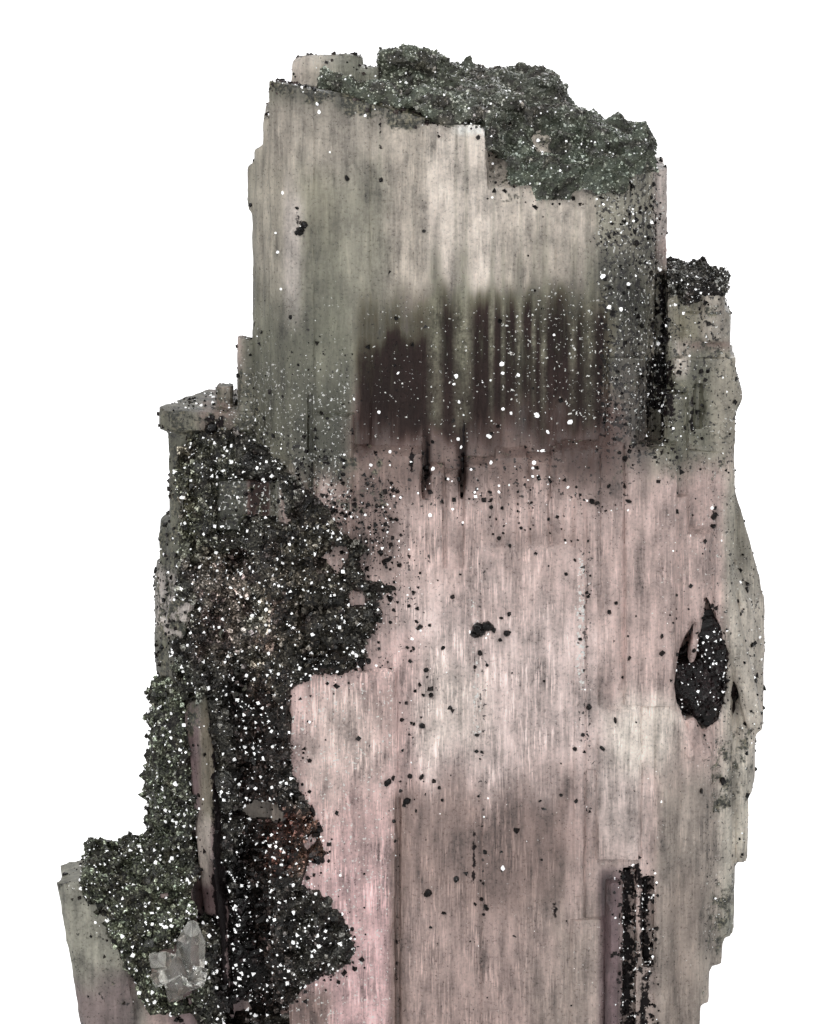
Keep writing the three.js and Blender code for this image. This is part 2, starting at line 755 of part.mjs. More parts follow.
const SHOULDER_CRUST = [
  {
    view: 'top',
    reach: [48.6, 50.6],
    outline: [
      [15.6, -8.9],
      [17.8, -9.5],
      [19.5, -9.5],
      [19.6, -1.0],
      [16.0, -0.6],
    ],
    spacing: 1.9,
    seed: 104,
  },
];
const POCKET_CRUST = [{ view: 'front', reach: [6, 9.9], outline: POCKET_OUTLINE, spacing: 1.4, seed: 105 }];

// Crystals that stand clear of the crust
const BARE = [
  { x: [-12.4, -8.5], y: [-20, -6], z: [35.6, 38.3] },
  { x: [-12.4, -10.4], y: [-20, -6], z: [34.6, 37.8] },
  { x: [-13.1, -11.3], y: [-20, -8.6], z: [10.6, 24.8], lean: -5.5 },
  { x: [-12.0, -11.2], y: [-20, -8.6], z: [6.0, 12.0], lean: -4 },
  { x: [-15.7, -14.0], y: [-20, -7], z: [27.8, 30.4], lean: 14 },
];

// The small colourless crystals on the corner crystal: short pointed prisms on a common root
const CLEAR_CRYSTALS = [
  { foot: [-14.7, -12.9, 7.4], width: 2.6, length: 1.2, turn: [-90, 0] },
  { foot: [-13.9, -13.2, 8.0], width: 1.9, length: 2.9, turn: [-12, 4] },
  { foot: [-13.8, -13.0, 7.2], width: 1.6, length: 1.9, turn: [-60, 62] },
  { foot: [-15.3, -13.0, 8.0], width: 1.5, length: 2.2, turn: [-55, -48] },
  { foot: [-14.6, -13.0, 6.6], width: 1.9, length: 1.9, turn: [-75, 10] },
  { foot: [-15.6, -13.0, 7.2], width: 1.4, length: 2.0, turn: [-80, -70] },
  { foot: [-14.9, -12.9, 6.2], width: 1.4, length: 1.7, turn: [-95, -150] },
];

const CLEAR_SIDES = 4;
const CLEAR_TAPER = 0.94; // of the width, where the point starts
const CLEAR_TIP = 0.3; // of the width, at the end
const CLEAR_SHOULDER = 0.55; // of the length, where the point starts

function pointedCrystal({ foot, width, length, turn }, grow) {
  const half = width / 2 + grow;
  const profile = [
    new THREE.Vector2(0, -length / 2 - grow),
    new THREE.Vector2(half, -length / 2 - grow),
    new THREE.Vector2(half * CLEAR_TAPER, length * CLEAR_SHOULDER),
    new THREE.Vector2(half * CLEAR_TIP, length + grow),
    new THREE.Vector2(0, length + grow),
  ];
  const geometry = new THREE.LatheGeometry(profile, CLEAR_SIDES);
  geometry.rotateX(Math.PI / 2);
  geometry.rotateX(THREE.MathUtils.degToRad(-turn[0]));
  geometry.rotateY(THREE.MathUtils.degToRad(turn[1]));
  geometry.translate(...foot);
  return solidOf(geometry);
}

const clearCrystals = (grow) => joined(CLEAR_CRYSTALS.map((spec) => pointedCrystal(spec, grow)));

// Materials, as in the photograph
const lilac = new THREE.MeshStandardMaterial({ color: 0xb9a8a4, roughness: 0.35, metalness: 0 });
const darkGlitter = new THREE.MeshStandardMaterial({ color: 0x23261f, roughness: 0.3, metalness: 0.3 });
const greenGlitter = new THREE.MeshStandardMaterial({ color: 0x3c4a41, roughness: 0.35, metalness: 0.2 });
const blackGlass = new THREE.MeshStandardMaterial({ color: 0x1b141a, roughness: 0.15, metalness: 0.2 });
const colourless = new THREE.MeshStandardMaterial({ color: 0xc9ccc8, roughness: 0.1, metalness: 0 });

const specimen = new THREE.Group();

function place(name, solid, material) {
  const mesh = new THREE.Mesh(geometryOf(solid), material);
  mesh.name = name;
  specimen.add(mesh);
}

const cleared = crystal(GAP);
const grown = crystal(CRUST);
const bare = joined(BARE.map((spec) => prism(spec, GAP)));
place('crystal', crystal(), lilac);
place('clear_crystals', largestBodyOf(clearCrystals(0).subtract(cleared)), colourless);
place('left_crust', crust(LEFT_CRUST, cleared.add(bare).add(clearCrystals(GAP)), grown), darkGlitter);
place('top_crust', crust(TOP_CRUST, cleared, grown), greenGlitter);
place('shoulder_crust', crust(SHOULDER_CRUST, cleared, grown), darkGlitter);
place('pocket_crust', crust(POCKET_CRUST, cleared), blackGlass);

// The origin is the middle of the base
const bounds = new THREE.Box3().setFromObject(specimen);
const middle = bounds.getCenter(new THREE.Vector3());
specimen.position.set(-middle.x, -middle.y, -bounds.min.z);

export default specimen;
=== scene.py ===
import math

import bpy
import numpy as np
from bpy.props import FloatProperty, FloatVectorProperty, PointerProperty
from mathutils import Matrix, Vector, noise
from mathutils.bvhtree import BVHTree


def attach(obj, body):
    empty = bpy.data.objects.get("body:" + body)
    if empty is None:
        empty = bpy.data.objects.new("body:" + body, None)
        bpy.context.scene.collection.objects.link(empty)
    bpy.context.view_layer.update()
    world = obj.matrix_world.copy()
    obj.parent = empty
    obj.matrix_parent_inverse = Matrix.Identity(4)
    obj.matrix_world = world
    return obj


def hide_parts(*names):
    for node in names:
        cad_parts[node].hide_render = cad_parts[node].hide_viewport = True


bl_info = {
    "name": "Anhydrite crystal",
    "version": (1, 0, 0),
    "blender": (4, 5, 0),
    "location": "3D View > Sidebar > Anhydrite",
    "description": "Finishes a packed anhydrite crystal: striated faces, glittering crusts, loose grains",
    "category": "Object",
}

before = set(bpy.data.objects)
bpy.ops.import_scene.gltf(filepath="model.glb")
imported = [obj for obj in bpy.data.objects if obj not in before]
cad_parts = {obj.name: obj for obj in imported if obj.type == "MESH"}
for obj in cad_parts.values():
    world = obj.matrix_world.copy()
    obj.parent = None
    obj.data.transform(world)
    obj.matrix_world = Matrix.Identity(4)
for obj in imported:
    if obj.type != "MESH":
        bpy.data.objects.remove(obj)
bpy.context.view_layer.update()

MM = 0.001
BODY = "root"


def linear(red, green, blue):
    """A colour given as 0 to 255, as Blender's own linear values."""
    shares = [value / 255 for value in (red, green, blue)]
    return tuple(s / 12.92 if s <= 0.04045 else ((s + 0.055) / 1.055) ** 2.4 for s in shares)


# Colours by the names that the tables and materials below use
COLOURS = {
    "lilac": linear(184, 162, 156),
    "pale_lilac": linear(202, 184, 179),
    "rose": linear(192, 164, 160),
    "deep_rose": linear(206, 172, 172),
    "cream": linear(206, 195, 184),
    "dull_cream": linear(176, 166, 154),
    "pearl": linear(200, 190, 184),
    "milk": linear(240, 230, 218),
    "smoke": linear(38, 28, 26),
    "haze": linear(96, 92, 76),
    "brown": linear(88, 70, 65),
    "moss": linear(142, 138, 124),
    "deep_moss": linear(98, 98, 84),
    "dark_moss": linear(48, 49, 40),
    "warm_grey": linear(166, 157, 146),
    "grey": linear(146, 138, 128),
    "umber": linear(124, 105, 98),
    "mauve": linear(108, 90, 92),
    "tan": linear(122, 117, 99),
    "sage": linear(150, 150, 136),
    "ink": linear(22, 17, 18),
    "painted_highlight": linear(238, 238, 234),
    "olive": linear(124, 122, 106),
    "sparkle": linear(250, 252, 252),
    "glass": linear(238, 240, 236),
    "cloudy_glass": linear(206, 200, 190),
    "floor": linear(228, 228, 228),
    "bright_floor": linear(240, 240, 240),
}

# The camera looks along +Y, from 10 degrees above the middle of the main face
AIM = Vector((-0.08, -10.45, 36.1)) * MM
CAMERA_DISTANCE = 500 * MM
CAMERA_ELEVATION = 10.0
LENS = 284.8
PICTURE = (821, 1024)
SENSOR = 36.0
# Width of one of the picture's points, seen from a distance of 1
PIXEL = SENSOR / max(PICTURE) / LENS

# Corners of the CAD mesh nearer than this, in metres, are one
MERGE_DISTANCE = 1e-6
# Faces that meet at less than this are one face, and an edge sharper than the second stays sharp
FLAT_ANGLE = math.radians(0.5)
SHARP_ANGLE = math.radians(24)
# A point this close to a slice, in millimetres, is taken as on it
SLICE_SNAP = 0.03
# The main face, in millimetres: its left and right edges, its foot, and the depth behind which it ends
MAIN_LEFT = -10.6
MAIN_RIGHT = 16.2
MAIN_FOOT = 36.5
MAIN_DEPTH = -8.2
# A face looks one way if its normal points that way by more than this, and up if by more than the second
FACING = 0.4
LEVEL = 0.7
# How far loose grains reach round the crusts, and how far most of them do, in millimetres
RIM_REACH = 2.5
RIM_WIDTH = 0.75
# A crust's skin lower than this over the crystal, in millimetres, is its thin rim
RIM_HEIGHT = 0.9
# A placed grain wider than this gets a rounder mesh
LARGE_GRAIN = 0.55 * MM
# The least and most that grains clump: evenly spread, and in loose clusters
EVEN = (1.0, 1.0)
CLUMPED = (0.2, 2.6)


def length_property(name, description, millimetres):
    return FloatProperty(name=name, description=description, default=millimetres * MM, unit="LENGTH")


def share_property(name, description, default):
    return FloatProperty(name=name, description=description, default=default, min=0, max=1)


def colour_property(name, description, *levels):
    default = linear(*levels)
    return FloatVectorProperty(name=name, description=description, default=default, subtype="COLOR")


class CrystalSettings(bpy.types.PropertyGroup):
    """Sizes and finish of the anhydrite."""

    striation_depth: length_property("Striation depth", "Height of the fine upright striations", 0.05)
    chip_depth: length_property("Chip depth", "Unevenness of faces and edges", 0.10)
    roughness: share_property("Roughness", "Roughness of the cleavage faces", 0.36)
    transmission: share_property("Transmission", "Share of light that passes through", 0.2)
    refraction: FloatProperty(
        name="Refraction", description="Index of refraction of anhydrite", default=1.58, min=1, max=3
    )


class CrustSettings(bpy.types.PropertyGroup):
    """Grains and colours of the dark crusts."""

    dark: colour_property("Dark crust", "Colour of the dark crust's grains", 68, 66, 61)
    green: colour_property("Green crust", "Colour of the top crust's grains", 108, 111, 102)
    black: colour_property("Black crust", "Colour of the crust in the pocket", 30, 18, 20)
    loose: colour_property("Loose grains", "Colour of the grains sprinkled on the faces", 22, 16, 16)
    grain: length_property("Grain size", "Width of an average grain", 0.17)
    voxel: length_property("Relief size", "Size of the smallest lump under the grains", 0.4)


class StageSettings(bpy.types.PropertyGroup):
    """Lights and floor."""

    sky: FloatProperty(name="Sky", description="Brightness of the light from all round", default=0.48)
    key: FloatProperty(name="Key", description="Power of the large front light in watts", default=1.25)
    glint: FloatProperty(name="Glint", description="Power of each small light in watts", default=0.12)
    floor_width: length_property("Floor width", "Side of the square floor", 4000.0)


# Meshes


def make_active(piece):
    bpy.ops.object.select_all(action="DESELECT")
    bpy.context.view_layer.objects.active = piece
    piece.select_set(True)


def edit(*steps):
    """Runs mesh operators on all of the active piece. Each step is an operator and its options."""
    bpy.ops.object.mode_set(mode="EDIT")
    bpy.ops.mesh.select_all(action="SELECT")
    for operator, options in steps:
        operator(**options)
    bpy.ops.object.mode_set(mode="OBJECT")


def modify(piece, name, kind, **settings):
    """Adds a modifier to a piece and applies it."""
    make_active(piece)
    modifier = piece.modifiers.new(name, kind)
    for key, value in settings.items():
        setattr(modifier, key, value)
    bpy.ops.object.modifier_apply(modifier=modifier.name)


def add_object(name, data):
    thing = bpy.data.objects.new(name, data)
    bpy.context.scene.collection.objects.link(thing)
    return thing


def read(items, field, width=3, kind=np.float32):
    """One field of all items, as an array with a row for each."""
    values = np.empty(len(items) * width, kind)
    items.foreach_get(field, values)
    return values.reshape(-1, width)


def points_of(mesh):
    """The places of a mesh's points in millimetres."""
    return read(mesh.vertices, "co").astype(float) / MM


def normals_of(mesh):
    return read(mesh.vertices, "normal").astype(float)


def move_points(mesh, places):
    """Puts a mesh's points at places in millimetres."""
    mesh.vertices.foreach_set("co", (places * MM).astype(np.float32).ravel())
    mesh.update()


def copy_of(node, name):
    """A new piece with a merged copy of a CAD node's mesh."""
    piece = add_object(name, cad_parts[node].data.copy())
    piece.data.materials.clear()
    make_active(piece)
    bpy.ops.mesh.customdata_custom_splitnormals_clear()
    edit(
        (bpy.ops.mesh.remove_doubles, {"threshold": MERGE_DISTANCE}),
        (bpy.ops.mesh.dissolve_limited, {"angle_limit": FLAT_ANGLE}),
    )
    return piece


def slice_piece(piece, axis, step, wanted):
    """Cuts the wanted faces that are wide enough with planes step millimetres apart."""
    make_active(piece)
    mesh = piece.data
    middles = read(mesh.polygons, "center") / MM
    normals = read(mesh.polygons, "normal")
    loops = read(mesh.loops, "vertex_index", 1, np.int32).ravel()
    starts = read(mesh.polygons, "loop_start", 1, np.int32).ravel()
    corners = points_of(mesh)[loops, axis]
    lowest = np.minimum.reduceat(corners, starts)
    highest = np.maximum.reduceat(corners, starts)
    keep = wanted(middles, normals) & (highest - lowest > 1.25 * step)
    low, high = lowest[keep].min(), highest[keep].max()
    mesh.polygons.foreach_set("hide", ~keep)
    normal = [0.0, 0.0, 0.0]
    normal[axis] = 1.0
    bpy.ops.object.mode_set(mode="EDIT")
    for place in np.arange(math.ceil(low / step) * step, high, step):
        bpy.ops.mesh.select_all(action="SELECT")
        point = [0.0, 0.0, 0.0]
        point[axis] = place * MM
        bpy.ops.mesh.bisect(plane_co=point, plane_no=normal, threshold=SLICE_SNAP * MM)
    bpy.ops.mesh.reveal(select=True)
    bpy.ops.object.mode_set(mode="OBJECT")


def triangulate(piece):
    make_active(piece)
    methods = {"quad_method": "SHORTEST_DIAGONAL", "ngon_method": "BEAUTY"}
    edit((bpy.ops.mesh.quads_convert_to_tris, methods))


def store(mesh, name, values):
    """Keeps one number or one colour for each point of a mesh."""
    is_colour = values.ndim == 2
    kind = "FLOAT_COLOR" if is_colour else "FLOAT"
    attribute = mesh.attributes.new(name, kind, "POINT")
    if is_colour:
        values = np.hstack([values, np.ones((len(values), 1))])
    field = "color" if is_colour else "value"
    attribute.data.foreach_set(field, values.astype(np.float32).ravel())


def noise_at(places, size, seed=0.0, octaves=1):
    """Smooth noise from about -1 to 1 for each place. size may differ along X, Y and Z."""
    scaled = places / np.asarray(size, float) + seed
    total = np.zeros(len(places))
    for octave in range(octaves):
        step = 2.0**octave
        total += [noise.noise(Vector(p) * step) / step for p in scaled]
    return total


def smoothstep(low, high, values):
    share = np.clip((values - low) / (high - low), 0, 1)
    return share * share * (3 - 2 * share)


def inside(places, x, z, soft, ragged=None):
    """1 in an upright rectangle seen from the front, and 0 outside it, with soft edges."""
    soft_x, soft_z = soft
    above = places[:, 2] - z[0]
    below = z[1] - places[:, 2]
    if ragged is not None:
        above = above + ragged
        below = below - ragged * 0.4
    left = smoothstep(-soft_x, soft_x, places[:, 0] - x[0])
    right = smoothstep(-soft_x, soft_x, x[1] - places[:, 0])
    return left * right * smoothstep(-soft_z, soft_z, above) * smoothstep(-soft_z, soft_z, below)


def finish_piece(piece, material, slot, *nodes):
    """Gives a piece its material, and lets it ride on the object in place of CAD nodes."""
    piece.data.materials.clear()
    piece.data.materials.append(material)
    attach(piece, BODY)
    if nodes:
        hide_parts(*nodes)


# Node trees


class Graph:
    """Adds linked nodes to a node tree."""

    def __init__(self, tree):
        self.tree = tree

    def feed(self, socket, value):
        if isinstance(value, bpy.types.NodeSocket):
            self.tree.links.new(value, socket)
        else:
            socket.default_value = value

    def add(self, kind, inputs=None, **settings):
        node = self.tree.nodes.new(kind)
        for name, value in settings.items():
            setattr(node, name, value)
        self.fill(node, inputs or {})
        return node

    def fill(self, node, inputs):
        for name, value in inputs.items():
            self.feed(node.inputs[name], value)

    def random(self, kind, inputs, output):
        return self.add("FunctionNodeRandomValue", inputs, data_type=kind).outputs[output]

    def math(self, operation, *values):
        node = self.add("ShaderNodeMath", dict(enumerate(values)), operation=operation)
        return node.outputs[0]

    def times(self, first, second):
        return self.math("MULTIPLY", first, second)

    def swing(self, *parts):
        """1, plus each noise's distance from its middle times its amount."""
        total = 1.0 - sum(amount for _, amount in parts) / 2
        for value, amount in parts:
            total = self.math("MULTIPLY_ADD", value, amount, total)
        return self.math("MAXIMUM", total, 0.05)

    def stripes(self, across, marks):
        """A profile of upright lines. Each mark is its middle, half its width and its strength."""
        low = marks[0][0] - 1.0
        wide = marks[-1][0] + 1.0 - low
        stops = [(0.0, (0, 0, 0))]
        for middle, half, strength in marks:
            for place, level in ((middle - half, 0), (middle, strength), (middle + half, 0)):
                stops.append(((place - low) / wide, (level,) * 3))
        stops.append((1.0, (0, 0, 0)))
        return self.ramp(self.math("DIVIDE", self.math("SUBTRACT", across, low), wide), stops)

    def ramp(self, value, stops):
        """The colour for a value from 0 to 1. Each stop is a place and a colour."""
        node = self.add("ShaderNodeValToRGB", {"Fac": value})
        elements = node.color_ramp.elements
        elements.remove(elements[1])
        elements[0].position = stops[0][0]
        elements[0].color = (*stops[0][1], 1)
        for position, colour in stops[1:]:
            elements.new(position).color = (*colour, 1)
        return node.outputs["Color"]

    def stretch(self, vector, factors):
        node = self.add("ShaderNodeVectorMath", {0: vector, 1: factors}, operation="MULTIPLY")
        return node.outputs[0]

    def noise(self, vector, scale=1.0, detail=2.0, roughness=0.55):
        inputs = {"Vector": vector, "Scale": scale, "Detail": detail, "Roughness": roughness}
        return self.add("ShaderNodeTexNoise", inputs).outputs["Fac"]

    def window(self, value, low, high, bottom=0.0, top=1.0):
        """Value's share of the way from low to high, eased and clamped, as bottom to top."""
        inputs = {"Value": value, "From Min": low, "From Max": high, "To Min": bottom, "To Max": top}
        return self.add("ShaderNodeMapRange", inputs, interpolation_type="SMOOTHSTEP").outputs["Result"]

    def blend(self, share, first, second, kind="MIX"):
        """First, with a share of second over it. A colour may be given by its name."""
        node = self.add("ShaderNodeMix", data_type="RGBA", blend_type=kind)
        self.feed(node.inputs["Factor"], share)
        for name, value in (("A", first), ("B", second)):
            socket = [s for s in node.inputs if s.name == name and s.type == "RGBA"][0]
            self.feed(socket, (*COLOURS[value], 1) if isinstance(value, str) else value)
        return [s for s in node.outputs if s.type == "RGBA"][0]

    def attribute(self, name, output="Fac"):
        node = self.add("ShaderNodeAttribute", attribute_name=name)
        return node.outputs[output]


def new_material(name):
    """A material, its graph, its surface shader and Object coordinates in millimetres."""
    material = bpy.data.materials.new(name)
    material.use_nodes = True
    graph = Graph(material.node_tree)
    shader = material.node_tree.nodes["Principled BSDF"]
    place = graph.add("ShaderNodeTexCoord").outputs["Object"]
    millimetres = graph.stretch(place, (1 / MM,) * 3)
    return material, graph, shader, millimetres


def add_bump(graph, shader, height, distance, strength=1.0):
    inputs = {"Height": height, "Distance": distance, "Strength": strength}
    graph.feed(shader.inputs["Normal"], graph.add("ShaderNodeBump", inputs).outputs["Normal"])


# Materials


# Dark specks, and white flecks that are painted glints: the attribute that makes them more, their colour,
# size and least noise
SPOTS = (("speck", "ink", 3.4, 0.78), ("fleck", "painted_highlight", 5.2, 0.79))


def anhydrite_material(settings):
    """Cloudy anhydrite: its points' tints, some painted light and shade, under striations, painted glints
    and dark specks.
    """
    material, graph, shader, place = new_material("anhydrite")
    patch = graph.window(graph.noise(place, scale=0.45), 0.38, 0.62, 0.25, 1.0)
    patch = graph.times(patch, graph.attribute("threads"))
    thread = graph.noise(graph.stretch(place, (8.0, 8.0, 0.5)), roughness=0.7)
    bright = graph.times(graph.window(thread, 0.5, 0.66), patch)
    dull = graph.times(graph.window(thread, 0.46, 0.3), patch)
    strand = graph.noise(graph.stretch(place, (2.2, 2.2, 0.2)))
    blotch = graph.noise(graph.stretch(place, (1.5, 1.5, 0.9)), detail=3.0)
    cloud = graph.noise(graph.stretch(place, (0.45, 0.45, 0.3)))
    grain = graph.noise(place, scale=5.0, detail=3.0, roughness=0.7)
    part = graph.add("ShaderNodeSeparateXYZ", {"Vector": place}).outputs

    # Smoke is near black, olive at its top and brown at its bottom, with clearer lines in it
    smoke = graph.swing((strand, 1.3), (cloud, 0.8), (blotch, 0.5), (grain, 0.5))
    smoke = graph.times(smoke, graph.attribute("smoke"))
    haze = graph.blend(graph.window(part["Z"], 42.0, 46.0), "brown", "haze")
    colour = graph.blend(graph.window(smoke, 0.02, 0.55), graph.attribute("tint", "Color"), haze)
    colour = graph.blend(graph.window(smoke, 0.3, 0.95), colour, "smoke")
    clearer = graph.times(graph.stripes(part["X"], CLEARER), graph.attribute("stripes"))
    clearer = graph.times(clearer, graph.swing((blotch, 2.0), (grain, 1.6)))
    colour = graph.blend(graph.math("MINIMUM", clearer, 1.0), colour, "olive")
    drawn = graph.times(graph.stripes(part["X"], LINES), graph.attribute("lines"))
    colour = graph.blend(drawn, colour, "moss")

    # Moss is a mottling of dark green grains
    patchy = graph.noise(place, scale=1.3, detail=3.0, roughness=0.7)
    mottled = graph.math("ADD", patchy, graph.math("MULTIPLY_ADD", graph.attribute("moss"), 0.4, -0.4))
    mottled = graph.window(mottled, 0.42, 0.56)
    green = graph.blend(graph.window(grain, 0.46, 0.66), "dark_moss", "tan")
    colour = graph.blend(mottled, colour, green)

    # Painted shade: grooves and crevices are darkened to near black, and so are some dark smudges, with a
    # ragged edge
    torn = graph.noise(place, scale=2.4, detail=3.0, roughness=0.65)
    dark = graph.math("MULTIPLY_ADD", torn, 1.3, graph.math("SUBTRACT", graph.attribute("dark"), 0.65))
    dark = graph.window(dark, 0.42, 0.6)
    colour = graph.blend(dark, colour, "ink")

    # The base colour's lightness, with bright threads and dull ones
    light = graph.swing((strand, 1.4), (blotch, 0.9), (cloud, 1.8), (grain, 1.2))
    light = graph.math("MULTIPLY_ADD", bright, 0.9, graph.math("MULTIPLY_ADD", dull, -0.35, light))
    light = graph.times(light, 1.1)
    colour = graph.add("ShaderNodeHueSaturation", {"Color": colour, "Value": light}).outputs["Color"]

    for name, tone, scale, least in SPOTS:
        spots = graph.noise(place, scale=scale, roughness=0.6)
        spots = graph.math("MULTIPLY_ADD", graph.attribute(name), 0.2, spots)
        spots = graph.window(spots, least, least + 0.03, 0.0, 0.9)
        colour = graph.blend(spots, colour, tone)

    rough = settings.roughness
    solid = graph.math("MAXIMUM", dark, graph.window(smoke, 0.2, 0.8, 0.0, 0.9))
    surface = {
        "Base Color": colour,
        "Roughness": graph.window(grain, 0.25, 0.75, rough - 0.12, rough + 0.14),
        "IOR": settings.refraction,
        "Transmission Weight": graph.window(solid, 0.0, 1.0, settings.transmission, 0.0),
        "Specular IOR Level": graph.window(solid, 0.0, 1.0, 0.5, 0.12),
        "Subsurface Weight": 0.12,
        "Subsurface Radius": (1.0, 0.8, 0.75),
        "Subsurface Scale": 0.4 * MM,
    }
    graph.fill(shader, surface)
    height = graph.math("MULTIPLY_ADD", grain, 0.6, thread)
    add_bump(graph, shader, height, 0.08 * MM, 0.8)
    return material


# How each crust's colour is used: its least share, its contrast and its gloss
FINISHES = {
    "dark": (0.05, 1.9, 0.38),
    "green": (0.4, 1.15, 0.5),
    "black": (0.05, 1.9, 0.38),
    "loose": (0.05, 1.9, 0.38),
}
# Lighter grains: their place among the shades, their brightness and how grey they are
HIGHLIGHTS = ((0.6, 1.6, 0.3), (0.8, 3.8, 0.7), (0.95, 9.0, 1.0))
# Patches of hue over the crusts: the noise's value, and shares of red, green and blue
HUES = (
    (0.3, (1.1, 0.95, 0.9)),
    (0.42, (0.45, 0.4, 0.42)),
    (0.5, (1.1, 1.07, 0.98)),
    (0.6, (1.0, 1.03, 1.0)),
    (0.7, (2.2, 2.15, 2.05)),
)


def crust_material(name, colour, finish):
    """Glassy grains in patches of several hues. Each grain has a shade, and the brightest are painted
    glints: white, and glowing a little.
    """
    least, contrast, gloss = FINISHES[finish]
    material, graph, shader, place = new_material(name)
    shade = graph.attribute("shade")
    lumps = graph.noise(place, scale=1.1, detail=3.0)
    fine = graph.noise(place, scale=8.0, roughness=0.6)
    shifted = graph.math("MULTIPLY_ADD", graph.math("SUBTRACT", lumps, 0.54), 0.9, shade)
    shifted = graph.math("MULTIPLY_ADD", graph.math("SUBTRACT", fine, 0.5), contrast, shifted)
    stops = [(0.0, [c * least for c in colour]), (0.35, [c * 0.55 for c in colour])]
    grey = sum(colour) / 3
    for position, amount, share in HIGHLIGHTS:
        stops.append((position, [min((c + (grey - c) * share) * amount, 0.8) for c in colour]))
    patches = graph.ramp(graph.noise(place, scale=0.8, detail=3.0), HUES)
    toned = graph.blend(1.0, graph.ramp(shifted, stops), patches, "MULTIPLY")
    toned = graph.blend(1.0, toned, graph.attribute("tone", "Color"), "MULTIPLY")
    # Painted glints: grains of the highest shades are made white and given a little emission
    glint = graph.window(shade, 0.86, 0.9)
    surface = {
        "Base Color": graph.blend(glint, toned, "sparkle"),
        "Emission Color": (1, 1, 1, 1),
        "Emission Strength": graph.times(glint, 0.5),
        "Roughness": graph.window(graph.noise(place, scale=3.0), 0.3, 0.7, 0.16, 0.42),
        "IOR": 1.42,
        "Specular IOR Level": gloss,
    }
    graph.fill(shader, surface)
    add_bump(graph, shader, fine, 0.05 * MM, 0.7)
    return material


def clear_material():
    """Colourless crystal, with fine scratches on its faces."""
    material, graph, shader, place = new_material("clear_crystal")
    cloud = graph.noise(place, scale=1.1, detail=3.0)
    pale = graph.blend(graph.window(cloud, 0.35, 0.7), "glass", "cloudy_glass")
    rough = graph.window(graph.noise(place, scale=4.0), 0.3, 0.7, 0.02, 0.16)
    graph.fill(shader, {"Base Color": pale, "Roughness": rough, "IOR": 1.57, "Transmission Weight": 0.9})
    scratches = graph.noise(graph.stretch(place, (5.0, 5.0, 1.0)))
    add_bump(graph, shader, scratches, 0.03 * MM, 0.5)
    inputs = {"Color": (0.9, 0.88, 0.84, 1), "Density": 60.0}
    absorption = graph.add("ShaderNodeVolumeAbsorption", inputs)
    output = material.node_tree.nodes["Material Output"]
    material.node_tree.links.new(absorption.outputs["Volume"], output.inputs["Volume"])
    return material


def floor_material():
    """A pale floor that looks as overexposed as the sky."""
    material, graph, shader, place = new_material("pale_floor")
    pale = graph.blend(graph.noise(place, scale=0.02), "floor", "bright_floor")
    seen = graph.add("ShaderNodeLightPath").outputs["Is Camera Ray"]
    glow = graph.times(seen, 0.9)
    white = (1, 1, 1, 1)
    surface = {"Base Color": pale, "Roughness": 0.9, "Emission Color": white, "Emission Strength": glow}
    graph.fill(shader, surface)
    return material


# The crystal

